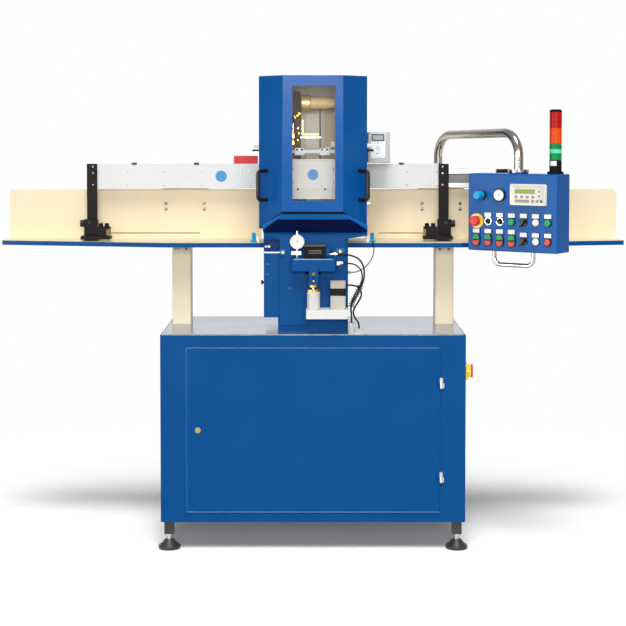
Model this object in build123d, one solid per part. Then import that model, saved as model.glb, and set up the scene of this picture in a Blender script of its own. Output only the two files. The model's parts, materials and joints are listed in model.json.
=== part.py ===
from build123d import *
import os
from math import atan2, hypot, pi, radians, tan

os.makedirs("parts", exist_ok=True)

# The machine is laid out about the middle of its cabinet, and this moves it so that the origin lies
# under the middle of its whole depth
frame_shift = 54

# Clearances
running_clearance = 0.05      # radial gap of a shaft in its bore
sliding_clearance = 0.5       # gap between flat sliding faces
seat_gap = 0.3                # gap between bodies that rest or turn against each other
overrun = 1                   # how far a cut runs past the face that it breaks through

# Cabinet
cabinet_width = 1220
cabinet_depth = 600
cabinet_height = 756
cabinet_floor = 112           # underside of the cabinet above the ground
cabinet_wall = 4
cabinet_edge = 5              # rounding of the folded edges
top_plate_thickness = 4
top_plate_inset = 6
door_width = 1015
door_height = 665
door_bottom = 151
door_thickness = 4
door_overlap = 22             # how far the door covers the rim of its opening
door_pan_depth = 14
door_pan_inset = 24           # from the rim of the opening to the stiffening pan
door_chamfer = 1.5
hinge_height = 42
hinge_radius = 7
hinge_pin_radius = 3
hinge_pin_short = 4           # pin's end below the top of the leaf
hinge_pin_end_gap = 2         # free bore above the pin
hinge_offset = 5              # hinge axis from the door's edge
hinge_stand_off = 8           # hinge axis in front of the cabinet face
hinge_centers = (295, 674)
lock_radius = 12
lock_stem_radius = 8
lock_inset = 48
lock_height = 484
lock_cam_length = 44
lock_cam_thickness = 4
lock_head = 5
lock_chamfer = 1
lock_slot_margin = 5          # from the slot's end to the head's edge
lock_slot_depth = 2
lock_slot_width = 3
main_switch_height = 712
main_switch_setback = 60      # from the front face to the switch's axis
main_switch_size = 64
main_switch_thickness = 10
main_switch_corner = 8
main_switch_stem = 9
main_switch_stem_inside = 20  # stem's reach into the cabinet
main_switch_hole_gap = 2
main_switch_disc = 5
main_switch_disc_margin = 6   # from the disc's rim to the base's edge
main_switch_grip = (12, 52, 18)

# Levelling feet
leg_size = 38
leg_inset = 32                # leg centre from the cabinet's sides
leg_height = 52
leg_bore_depth = 30
stud_engagement = 28          # stud's reach into the leg
stud_radius = 8
nut_radius = 13
nut_height = 10
pad_radius = 44
pad_rim = 14
pad_height = 36
pad_neck_radius = 18
pad_cone_margin = 6
pad_chamfer = 2

# Control plate inside the cabinet
plate_width = 900
plate_height = 560
plate_thickness = 3
plate_stand_off = 20
stand_off_inset = 30
stand_off_radius = 8
module_sizes = ((180, 120, 260), (120, 110, 200), (120, 110, 200), (260, 70, 90))
module_gap = 40
module_chamfer = 4

# Posts, trays and back panels
post_size = 80
post_wall = 4
post_center = 551             # post axis from the middle of the machine
post_front = 30
bracket_width = 200
bracket_thickness = 8
tray_rise = 350               # upper face of the tray floors above the cabinet
tray_sheet = 3
tray_lip = 16
tray_length = 1310            # outer end from the middle of the machine
tray_bend = 611               # where the front edge turns back
tray_gap = 0.5                # trays' inner ends beside the column
panel_inner = 222
tray_front = -91
tray_end_front = 60
panel_back = 200
panel_height = 211
panel_corner = 20
panel_end_inset = 6
bolt_radius = 7
bolt_height = 5
bolt_rim = 1                  # straight rim under the dome
bolt_spread = 82
bolt_rise = (125, 150)        # bolt heights above the tray

# Linear axes and carriages
axis_height = 81
axis_depth = 35
axis_lift = 7                 # axis above the back panel
axis_left_span = (-968, -60)
axis_right_span = (60, 848)
groove_height = 40
groove_depth = 20
axis_chamfer = 1.5
carriage_length = 160
carriage_thickness = 8
carriage_height = 72
carriage_gap = 4              # carriage plate in front of the axis
cover_thickness = 3
cover_rise = 22               # cover above the axis
cover_drop = 2                # cover below the axis
cover_chamfer = 0.8
cover_left_span = (-921, -200)
cover_right_span = (200, 536)
blank_plate_span = (-338, -235)
blank_plate_rise = 34
blank_plate_thickness = 2
arm_width = 42
arm_thickness = 20
arm_lift = 22                 # arm's lower end above the tray
arm_chamfer = 2
clamp_plate_thickness = 14
clamp_plate_reach = 170
clamp_plate_length = 118
clamp_plate_overhang = 5      # plate beyond the arm's outer face
clamp_block_size = (56, 40, 64)
clamp_overhang = 7            # clamp block beyond the arm's outer face
clamp_chamfer = 3
gripper_size = (56, 44, 40)
gripper_start = 60            # from the arm's outer face to the gripper
gripper_foot = 20             # plate behind the gripper
gripper_knob_places = (17, 42)
gripper_knob_radius = 9
gripper_knob_height = 14
rod_radius = 2
rod_length_left = 376
rod_length_right = 188
clamp_knob_radius = 15
clamp_knob_length = 18
knob_chamfer = 2
clamp_screw_radius = 5
clamp_screw_depth = 30
clamp_screw_drop = 18         # screw below the top of the clamp block
sensor_radius = 8
sensor_height = 40
sensor_base = (26, 30, 8)
sensor_offset = 245
sensor_depth = -60
sensor_chamfer = 2

# Work line and wheels
work_rise = 385               # work line above the cabinet
work_gap = 2                  # space between the two wheels
grinding_radius = 115
grinding_width = 60
grinding_bore = 38
arbor_radius = 15
arbor_short = 20              # arbor's end before the motor's end
arbor_end_gap = 2
wheel_chamfer = 2
regulating_radius = 70
regulating_width = 60
regulating_shaft = 12
shaft_overhang = 4            # shaft beyond the yoke
wheel_side_gap = 8            # between the regulating wheel and its yoke
motor_radius = 52
motor_span = (38, 198)
motor_foot_insets = (22, 18)
motor_chamfer = 3
flange_radius = 48
flange_width = 7

# Column and front plate
column_left = -198
column_right = 141
column_front = -235
column_back = 133
column_height = 394
column_wall = 12
notch_width = 57
notch_height = 60
front_plate_thickness = 15
front_plate_left = -133
front_plate_right = 129
front_plate_rise = 32         # front plate above the cabinet
front_head_height = 18
front_head_edge = 4           # height of the flared head at its outer ends
front_head_right = 218
passage_width = 80            # notches in the side walls for the workpiece
passage_drop = 17
slot_width = 64
slot_rise = 237               # slot for the infeed slide above the cabinet
slot_height = 70

# Hood
hood_half_width = 218
hood_front_half = 120
hood_front = -300
hood_facet_back = -202
hood_top_rise = 1030          # the hood's levels are above the cabinet
hood_sheet = 3
hood_edge = 4
hood_top_edge = 2
hood_cut_margin = 20          # how far the cut along the bottom edge runs past the hood
bracket_clearance = 1         # hood's rear edge before the inverter's bracket
hood_front_rise = 490
hood_side_rise = 423
seal_thickness = 6
seal_width = 8
window_width = 170
window_rise = 533
window_height = 455
window_shift = 3
pane_thickness = 5
pane_margin = 10
handle_height = 132
handle_rise = 526
handle_stand_off = 48
handle_radius = 8
handle_facet_offset = 23      # from the middle of the facet towards its outer edge
funnel_back = -120
funnel_sheet = 3

# Head plate, inner guard and dresser
head_plate_thickness = 12
head_plate_rise = 1012        # levels here are above the cabinet
guard_half_width = 150
guard_sheet = 3
guard_front = -135
guard_rise = 532
guard_height = 164
guard_hole_centers = (-62, 49)
guard_hole_rise = 38
guard_hole_radius = 5
cheek_rise = 562
cheek_height = 182
clamp_bar_rise = 726
clamp_bar_size = (16, 12)
bar_block_size = (40, 27, 30)
bar_block_centers = (-55, 47)
bar_block_hole = 3.5
bar_block_chamfer = 1.5
dresser_way = (100, 36, 330)
dresser_way_rise = 632
dresser_axis_rise = 926
dresser_axis_depth = -30
dresser_wheel_radius = 33
dresser_wheel_width = 40
dresser_wheel_end = -10       # where the dressing wheel meets the body
dresser_chamfer = 4
dresser_body_radius = 26
dresser_body_length = 70
dresser_tail_length = 29
dresser_tail_radius = 22
diamond_radius = 5
diamond_gap = 1               # diamond above the grinding wheel
diamond_arm_width = 24
diamond_arm_front = -18
diamond_arm_rise = 20
diamond_arm_height = 30

# Infeed
slide_left = -85
slide_right = 89
slide_rise = 250              # infeed slide above the cabinet
slide_height = 52
slide_depth = 50
slide_chamfer = 2
slide_neck_width = 58
slide_neck_height = 36
yoke_thickness = 12
infeed_travel = 6
lever_width = 36
lever_thickness = 12
lever_drop = 51
lever_foot_height = 22
screw_x = 2
screw_radius = 7
screw_engagement = 14         # screw's reach into the lever
nut_block_radius = 17
nut_block_height = 10
nut_chamfer = 2
screw_housing_radius = 26
screw_housing_height = 80
screw_flange_height = 10      # brass flange on top of the screw's housing
belt_housing_rise = 66        # belt housing above the cabinet
belt_housing_height = 36
belt_housing_left = -28
belt_housing_right = 141
belt_housing_reach = 92
belt_housing_wall = 3
belt_housing_corner = 6
pulley_radius = 18
pulley_height = 12
pulley_lift = 6               # pulley above the housing's floor
stepper_size = 60
stepper_layers = ((56, 0), (29, 1), (27, 0))    # height and inset of each layer
stepper_chamfer = 5
stepper_x = 99
feed_unit_size = (88, 44, 46)
feed_unit_center = 8
feed_unit_ribs = 7
feed_unit_rib_depth = 6
feed_unit_lift = 4
dial_x = -63
dial_rise = 368               # dial's middle above the cabinet
dial_radius = 29
dial_depth = 18
dial_chamfer = 2
dial_stem_radius = 4
dial_stem_gap = 12            # stem's end above the slide
dial_cap_height = 14
dial_plunger_radius = 2.5
dial_plunger_pocket = 14      # free bore above the plunger
dial_stand_off = 24
dial_bracket_lift = 2
dial_bracket = (46, 14, 16)

# Work rest
blade_tip = 3
blade_root = 34
blade_thickness = 1
blade_overhang = 2            # blade beyond the regulating wheel
holder_thickness = 9
holder_drop = 1

# Inverter behind the hood
inverter_size = (92, 112, 128)
inverter_left = 229
inverter_rise = 677           # inverter above the cabinet
inverter_edge = 4
inverter_bracket = 6
inverter_bracket_lip = 60     # bracket's reach behind the head plate
inverter_bracket_inset = 15

# Carrying tube and pendant
tube_radius = 19
tube_wall = 3
tube_bend = 95
tube_foot_rise = 364          # the tube's levels are above the cabinet
tube_top_rise = 792
tube_slope = 12               # rise of the top run towards the pendant
tube_x = 540
tube_stand_off = 3            # tube behind the bracket
tube_clamp = (74, 30)
tube_clamp_wall = 4
tube_clamp_chamfer = 6
tube_clamp_rises = (392, 532)
swivel_flange_radius = 42
swivel_flange_height = 12
swivel_flange_chamfer = 1.5
swivel_pin_radius = 14
swivel_pin_length = 26
pendant_x = 820
pendant_y = -265
pendant_turn = 34.5
pendant_width = 394
pendant_depth = 110
pendant_height = 310
pendant_rise = 330            # pendant above the cabinet
pendant_wall = 3
pendant_edge = 5
swivel_boss_height = 4
swivel_boss_margin = 4        # boss inside the flange's rim
column_pitch = 52.5
row_rises = (119, 44)         # rows of controls above the pendant's bottom
bezel_radius = 15.5
bezel_bore = 13
bezel_height = 5
control_chamfer = 1
fitting_chamfer = 2
button_radius = 12.5
button_proud = 8
button_stem = 7
button_stem_length = 22
button_travel = 4
selector_gap = 1              # selector's knob in front of the panel
selector_proud = 2            # knob in front of its bezel
key_grip = (3, 12, -9, 9)     # width, height and the two ends from the middle
selector_grip = (7, 12, -11, 11)
lever_grip = (8, 14, -21, 9)
selector_turn = 45            # how far the selectors stand turned to either side
rocker_frame = (34, 8, 52)
rocker_frame_corner = 16
rocker_size = (26, 6.5, 44)
rocker_corner = 12.5
rocker_lift = 3.5             # back of a double button above the panel
rocker_gap = 0.5
rocker_pin_radius = 2
rocker_pin_depth = 1          # pin's axis in front of the double button's back
rocker_pin_wall = 1           # frame left outside the pin's bore
rocker_pin_end_gap = 1
stop_radius = 20
stop_height = 22
stop_plate_radius = 30
stop_plate_height = 3
stop_hole_radius = 11
stop_lift = 3                 # pressed head above its plate
stop_edge = 6
label_plate = (31, 6, 18)
label_rise = 26
double_label_rise = 35.5
display_size = (158, 12, 85)
display_place = (72, 228)     # sideways, and above the pendant's bottom
gauge_place = (-54, 225)
gauge_radius = 26
gauge_height = 14
regulator_place = (-134, 223)
regulator_radius = 16
regulator_height = 50
regulator_base_height = 10
regulator_base_margin = 4
regulator_hole_gap = 1
regulator_chamfer = 3
pull_radius = 9
pull_width = 172
pull_drop = 54
pull_setback = 17            # pull handle's axis behind the pendant's face
pull_bend = 28
tower_offset = 160
tower_radius = 24
tower_base_radius = 32
tower_base_height = 10
tower_foot_height = 45
tower_lens_height = 63
tower_cap_height = 10
tower_cap_flat = 2
tower_seam = 1.5

# Cables
cable_radius = 3.5
sensor_cable_radius = 2
hose_radius = 3
cable_fitting_length = 46
cable_fitting_radius = 5
cable_fitting_rise = 12
gland_length = 12
gland_radius = 6
hose_setback = 10             # hose behind the front of its block
hose_rise = 282               # hose's fitting above the cabinet
hose_block = (12, 32, 14)     # carries the hose's fitting on the front plate
hose_block_gap = 6            # block beside the slide
hose_fitting_length = 12
feed_plug = (23, 30, 44)
stepper_plug = (34, 18, 22)
plug_chamfer = 3

# Levels and places that follow from the sizes above
cabinet_top = cabinet_floor + cabinet_height
cabinet_front = -cabinet_depth / 2
shell_top = cabinet_top - top_plate_thickness
tray_level = cabinet_top + tray_rise
arm_bottom = tray_level + arm_lift
work_height = cabinet_top + work_rise
column_top = cabinet_top + column_height
front_plate_bottom = cabinet_top + front_plate_rise
slot_bottom = cabinet_top + slot_rise
slot_top = slot_bottom + slot_height
hood_top = cabinet_top + hood_top_rise
hood_front_bottom = cabinet_top + hood_front_rise
hood_side_bottom = cabinet_top + hood_side_rise
window_bottom = cabinet_top + window_rise
handle_bottom = cabinet_top + handle_rise
head_plate_top = cabinet_top + head_plate_rise
guard_bottom = cabinet_top + guard_rise
cheek_bottom = cabinet_top + cheek_rise
cheek_top = cheek_bottom + cheek_height
clamp_bar_level = cabinet_top + clamp_bar_rise
dresser_way_bottom = cabinet_top + dresser_way_rise
dresser_axis_height = cabinet_top + dresser_axis_rise
slide_bottom = cabinet_top + slide_rise
belt_housing_bottom = cabinet_top + belt_housing_rise
dial_height = cabinet_top + dial_rise
hose_level = cabinet_top + hose_rise
inverter_bottom = cabinet_top + inverter_rise
tube_foot = cabinet_top + tube_foot_rise
tube_top = cabinet_top + tube_top_rise
tube_clamp_levels = [cabinet_top + rise for rise in tube_clamp_rises]
pendant_bottom = cabinet_top + pendant_rise
row_levels = [pendant_bottom + rise for rise in row_rises]
display_center = (display_place[0], pendant_bottom + display_place[1])
gauge_center = (gauge_place[0], pendant_bottom + gauge_place[1])
regulator_center = (regulator_place[0], pendant_bottom + regulator_place[1])
door_right = door_width / 2
door_top = door_bottom + door_height
door_face = cabinet_front - seat_gap - door_thickness
hinge_x = door_right + hinge_offset
hinge_y = cabinet_front - hinge_stand_off
leg_bottom = cabinet_floor - leg_height
tray_under = tray_level - tray_sheet
post_top = tray_under - bracket_thickness
post_middle = post_front + post_size / 2
panel_top = tray_level + panel_height
axis_bottom = panel_top + axis_lift
axis_top = axis_bottom + axis_height
axis_front = panel_back - axis_depth
axis_middle = (axis_bottom + axis_top) / 2
carriage_back = axis_front - carriage_gap
arm_back = carriage_back - carriage_thickness
arm_top = axis_top + cover_rise
grinding_height = work_height + work_gap / 2 + grinding_radius
regulating_height = work_height - work_gap / 2 - regulating_radius
front_plate_front = column_front - front_plate_thickness
slide_back = front_plate_front - sliding_clearance
slide_front = slide_back - slide_depth
slide_top = slide_bottom + slide_height
screw_y = slide_front - lever_thickness / 2
lever_bottom = slide_bottom - lever_drop
nut_bottom = lever_bottom - nut_block_height
belt_housing_top = belt_housing_bottom + belt_housing_height
screw_housing_top = belt_housing_top + screw_housing_height
head_plate_front = column_back - head_plate_thickness
hood_back = column_back - bracket_clearance
facet_run = hood_half_width - hood_front_half
facet_rise = hood_facet_back - hood_front
side_turn = atan2(facet_run, facet_rise)
front_turn = radians(90) - side_turn
head_plate_half = hood_half_width - hood_sheet - seat_gap
pendant_top = pendant_bottom + pendant_height
flange_bottom = pendant_top + swivel_boss_height + seat_gap
flange_top = flange_bottom + swivel_flange_height
tube_y = panel_back + bracket_thickness + tube_stand_off + tube_radius


def block(x0, x1, y0, y1, z0, z1):
    """Box given by its six limits."""
    size = (x1 - x0, y1 - y0, z1 - z0)
    return Pos((x0 + x1) / 2, (y0 + y1) / 2, (z0 + z1) / 2) * Box(*size)


def rod(start, axis, length, radius):
    """Cylinder that runs from a start point along +X, +Y or +Z."""
    turn = {"x": (0, 90, 0), "y": (-90, 0, 0), "z": (0, 0, 0)}[axis]
    low = (Align.CENTER, Align.CENTER, Align.MIN)
    return Pos(*start) * Rot(*turn) * Cylinder(radius, length, align=low)


def prism(points, z0, z1):
    """Upright prism over an outline given in X and Y."""
    outline = make_face(Polyline(*points, close=True))
    return Pos(0, 0, z0) * extrude(outline, z1 - z0)


def side_prism(points, x0, x1):
    """Prism along X over an outline given in Y and Z."""
    outline = make_face(Plane.YZ * Polyline(*points, close=True))
    return Pos(x0, 0, 0) * extrude(outline, x1 - x0, dir=(1, 0, 0))


def front_prism(points, y0, y1):
    """Prism along Y over an outline given in X and Z."""
    outline = make_face(Plane.XZ * Polyline(*points, close=True))
    return Pos(0, y1, 0) * extrude(outline, y1 - y0, dir=(0, -1, 0))


def tube_along(points, radii, radius, bore=0):
    """Round bar or tube along straight runs joined by tangent arcs."""
    path = FilletPolyline(*points, radius=radii)
    section = Plane(origin=path @ 0, z_dir=path % 0) * Circle(radius)
    if bore:
        section = section - Plane(origin=path @ 0, z_dir=path % 0) * Circle(bore)
    return sweep(section, path=path)


def save(name, *pieces):
    """Write one node as a group of its separate solids."""
    solids = []
    for piece in pieces:
        solids.extend((Pos(0, frame_shift, 0) * piece).solids())
    shape = solids[0] if len(solids) == 1 else Compound(children=solids)
    export_step(shape, f"parts/{name}.step")


# Cabinet shell with its door opening
shell = block(-cabinet_width / 2, cabinet_width / 2, cabinet_front, -cabinet_front, cabinet_floor,
              shell_top)
shell = fillet(shell.edges().filter_by(Axis.Z), cabinet_edge)
shell -= block(
    -cabinet_width / 2 + cabinet_wall,
    cabinet_width / 2 - cabinet_wall,
    cabinet_front + cabinet_wall,
    -cabinet_front - cabinet_wall,
    cabinet_floor + cabinet_wall,
    shell_top - cabinet_wall,
)
opening_half = door_right - door_overlap
shell -= block(
    -opening_half,
    opening_half,
    cabinet_front - overrun,
    cabinet_front + cabinet_wall + overrun,
    door_bottom + door_overlap,
    door_top - door_overlap,
)
switch_y = cabinet_front + main_switch_setback
switch_hole = main_switch_stem + main_switch_hole_gap
switch_hole_start = (cabinet_width / 2 - cabinet_wall - overrun, switch_y, main_switch_height)
shell -= rod(switch_hole_start, "x", cabinet_wall + 2 * overrun, switch_hole)
save("cabinet_shell", shell)

top_plate = block(
    -cabinet_width / 2 + top_plate_inset,
    cabinet_width / 2 - top_plate_inset,
    cabinet_front + top_plate_inset,
    -cabinet_front - top_plate_inset,
    shell_top,
    cabinet_top,
)
save("cabinet_top_plate", fillet(top_plate.edges().filter_by(Axis.Z), cabinet_edge))

# Door with a stiffening pan behind its face, pierced for the lock
lock_x = -door_right + lock_inset
pan_half = opening_half - door_pan_inset
door = block(-door_right, door_right, door_face, door_face + door_thickness, door_bottom, door_top)
door = chamfer(door.faces().sort_by(Axis.Y)[0].edges(), door_chamfer)
pan_left = -pan_half + lock_cam_length + door_pan_inset
pan_bottom = door_bottom + door_overlap + door_pan_inset
pan_top = door_top - door_overlap - door_pan_inset
pan_front = door_face + door_thickness
rim = block(pan_left, pan_half, pan_front, pan_front + door_pan_depth, pan_bottom, pan_top)
rim -= block(
    pan_left + door_thickness,
    pan_half - door_thickness,
    pan_front - overrun,
    pan_front + door_pan_depth + overrun,
    pan_bottom + door_thickness,
    pan_top - door_thickness,
)
door += rim
lock_bore = lock_stem_radius + running_clearance
door -= rod((lock_x, door_face - overrun, lock_height), "y", door_thickness + 2 * overrun, lock_bore)
save("cabinet_door", door)

# Lift-off hinges: the cabinet half carries the pin, the door half turns on it
hinge_posts = []
hinge_leaves = []
for center in hinge_centers:
    foot = center - hinge_height / 2
    middle = center
    top = center + hinge_height / 2
    post = rod((hinge_x, hinge_y, foot), "z", middle - foot - seat_gap / 2, hinge_radius)
    post += block(
        hinge_x,
        hinge_x + 2 * hinge_radius,
        hinge_y,
        cabinet_front,
        foot,
        middle - seat_gap / 2,
    )
    post += rod((hinge_x, hinge_y, foot), "z", hinge_height - hinge_pin_short, hinge_pin_radius)
    hinge_posts.append(post)
    leaf = rod((hinge_x, hinge_y, middle + seat_gap / 2), "z", top - middle - seat_gap / 2, hinge_radius)
    leaf += block(
        door_right - 2 * hinge_radius,
        hinge_x,
        hinge_y - hinge_radius,
        door_face,
        middle + seat_gap / 2,
        top,
    )
    leaf_bore = hinge_pin_radius + running_clearance
    bore_length = hinge_height - hinge_pin_short + hinge_pin_end_gap
    leaf -= rod((hinge_x, hinge_y, foot), "z", bore_length, leaf_bore)
    hinge_leaves.append(leaf)
save("door_hinge_posts", *hinge_posts)
save("door_hinge_leaves", *hinge_leaves)

# Quarter-turn lock, open: its cam hangs down, and a quarter turn puts it behind the cabinet's rim
cam_front = cabinet_front + cabinet_wall + sliding_clearance
lock_front = door_face - lock_head
lock = rod((lock_x, lock_front, lock_height), "y", lock_head - seat_gap, lock_radius)
lock = chamfer(lock.edges().sort_by(Axis.Y)[0], lock_chamfer)
stem_front = lock_front + lock_chamfer
lock += rod((lock_x, stem_front, lock_height), "y", cam_front + lock_cam_thickness - stem_front,
            lock_stem_radius)
lock += block(
    lock_x - lock_stem_radius,
    lock_x + lock_stem_radius,
    cam_front,
    cam_front + lock_cam_thickness,
    lock_height - lock_cam_length,
    lock_height + lock_stem_radius,
)
slot_reach = lock_radius - lock_slot_margin
lock -= block(
    lock_x - slot_reach,
    lock_x + slot_reach,
    lock_front - overrun,
    lock_front + lock_slot_depth,
    lock_height - lock_slot_width / 2,
    lock_height + lock_slot_width / 2,
)
save("door_lock", lock)

# Main switch on the right-hand side
side = cabinet_width / 2
half = main_switch_size / 2
switch_base = block(side, side + main_switch_thickness, switch_y - half, switch_y + half,
                    main_switch_height - half, main_switch_height + half)
switch_base = fillet(switch_base.edges().filter_by(Axis.X), main_switch_corner)
switch_bore = main_switch_stem + running_clearance
bore_start = (side - overrun, switch_y, main_switch_height)
switch_base -= rod(bore_start, "x", main_switch_thickness + 2 * overrun, switch_bore)
save("main_switch_base", switch_base)
grip_start = side + main_switch_thickness + seat_gap
stem_start = side - main_switch_stem_inside
switch_handle = rod((stem_start, switch_y, main_switch_height), "x", grip_start - stem_start,
                    main_switch_stem)
disc_radius = half - main_switch_disc_margin
switch_handle += rod((grip_start, switch_y, main_switch_height), "x", main_switch_disc, disc_radius)
switch_handle += block(
    grip_start + main_switch_disc,
    grip_start + main_switch_disc + main_switch_grip[2],
    switch_y - main_switch_grip[0] / 2,
    switch_y + main_switch_grip[0] / 2,
    main_switch_height - main_switch_grip[1] / 2,
    main_switch_height + main_switch_grip[1] / 2,
)
save("main_switch_handle", switch_handle)

# Levelling feet
feet = []
for side_x in (-1, 1):
    for side_y in (-1, 1):
        x = side_x * (cabinet_width / 2 - leg_inset)
        y = side_y * (cabinet_depth / 2 - leg_inset)
        half = leg_size / 2
        leg = block(x - half, x + half, y - half, y + half, leg_bottom, cabinet_floor)
        feet.append(leg - rod((x, y, leg_bottom), "z", leg_bore_depth, stud_radius + running_clearance))
        stud = rod((x, y, pad_height), "z", leg_bottom - pad_height + stud_engagement, stud_radius)
        nut = extrude(RegularPolygon(nut_radius, 6), nut_height)
        stud += Pos(x, y, leg_bottom - nut_height) * nut
        feet.append(stud)
        pad = rod((x, y, 0), "z", pad_rim, pad_radius)
        pad = chamfer(pad.edges().sort_by(Axis.Z)[-1], pad_chamfer)
        cone_height = pad_height - pad_rim
        cone = Cone(pad_radius - pad_cone_margin, pad_neck_radius, cone_height)
        feet.append(pad + Pos(x, y, pad_rim + cone_height / 2) * cone)
save("levelling_feet", *feet)

# Control plate with its drives and relays, on stand-offs at the back of the cabinet
plate_back = -cabinet_front - cabinet_wall - plate_stand_off
plate_bottom = cabinet_floor + (cabinet_height - plate_height) / 2
plate = block(-plate_width / 2, plate_width / 2, plate_back - plate_thickness, plate_back, plate_bottom,
              plate_bottom + plate_height)
for side_x in (-1, 1):
    for level in (plate_bottom + stand_off_inset, plate_bottom + plate_height - stand_off_inset):
        place = (side_x * (plate_width / 2 - stand_off_inset), plate_back, level)
        plate += rod(place, "y", plate_stand_off, stand_off_radius)
modules = [plate]
module_x = -plate_width / 2 + module_gap
for width, depth, height in module_sizes:
    module = block(
        module_x,
        module_x + width,
        plate_back - plate_thickness - depth,
        plate_back - plate_thickness,
        plate_bottom + plate_height - module_gap - height,
        plate_bottom + plate_height - module_gap,
    )
    modules.append(chamfer(module.faces().sort_by(Axis.Y)[0].edges(), module_chamfer))
    module_x += width + module_gap
save("control_modules", *modules)

# Posts, each with the bracket that carries the tray, the back panel and the axis
posts = []
for side_x in (-1, 1):
    x = side_x * post_center
    half = post_size / 2
    post = block(x - half, x + half, post_front, post_front + post_size, cabinet_top, post_top)
    post = fillet(post.edges().filter_by(Axis.Z), 2 * post_wall)
    inner = half - post_wall
    post -= block(x - inner, x + inner, post_middle - inner, post_middle + inner, cabinet_top - overrun,
                  post_top - 2 * post_wall)
    posts.append(post)
    reach = bracket_width / 2
    bracket = block(x - reach, x + reach, post_front, panel_back + bracket_thickness, post_top, tray_under)
    bracket += block(x - reach, x + reach, panel_back, panel_back + bracket_thickness, tray_under, axis_top)
    posts.append(bracket)
save("posts", *posts)

# Feed trays: a flat floor whose front edge is folded down
trays = []
for side_x, inner in ((-1, column_left - tray_gap), (1, column_right + tray_gap)):
    bend = side_x * tray_bend
    end = side_x * tray_length
    floor = prism(
        ((inner, tray_front), (bend, tray_front), (end, tray_end_front), (end, panel_back),
         (inner, panel_back)),
        tray_under,
        tray_level,
    )
    lip = prism(
        (
            (inner, tray_front),
            (bend, tray_front),
            (end, tray_end_front),
            (end, tray_end_front + tray_sheet),
            (bend, tray_front + tray_sheet),
            (inner, tray_front + tray_sheet),
        ),
        tray_under - tray_lip,
        tray_under,
    )
    trays.append(floor + lip)
save("trays", *trays)

# Back panels with a rounded outer top corner
panels = []
for side_x in (-1, 1):
    inner = side_x * panel_inner
    outer = side_x * (tray_length - panel_end_inset)
    low, high = min(inner, outer), max(inner, outer)
    panel = block(low, high, panel_back - tray_sheet, panel_back, tray_level, panel_top)
    corner = panel.edges().filter_by(Axis.Y).group_by(Axis.Z)[-1].sort_by(Axis.X)[0 if side_x < 0 else -1]
    panels.append(fillet(corner, panel_corner))
save("back_panels", *panels)

# Dome bolts that hold the back panels to the brackets
bolts = []
panel_face = panel_back - tray_sheet
for side_x in (-1, 1):
    for spread in (-bolt_spread, bolt_spread):
        for rise in bolt_rise:
            place = (side_x * post_center + spread, panel_face - bolt_height, tray_level + rise)
            head = rod(place, "y", bolt_height, bolt_radius)
            bolts.append(fillet(head.edges().sort_by(Axis.Y)[0], bolt_height - bolt_rim))
save("panel_bolts", *bolts)

# Linear axes: an extruded profile with a guide groove along its front
groove_bottom = axis_middle - groove_height / 2
groove_top = axis_middle + groove_height / 2
axes = []
for start, stop in (axis_left_span, axis_right_span):
    profile = block(start, stop, axis_front, panel_back, axis_bottom, axis_top)
    profile = chamfer(profile.edges().filter_by(Axis.X), axis_chamfer)
    profile -= block(start - overrun, stop + overrun, axis_front - overrun, axis_front + groove_depth,
                     groove_bottom, groove_top)
    axes.append(profile)
save("linear_axes", *axes)


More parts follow.
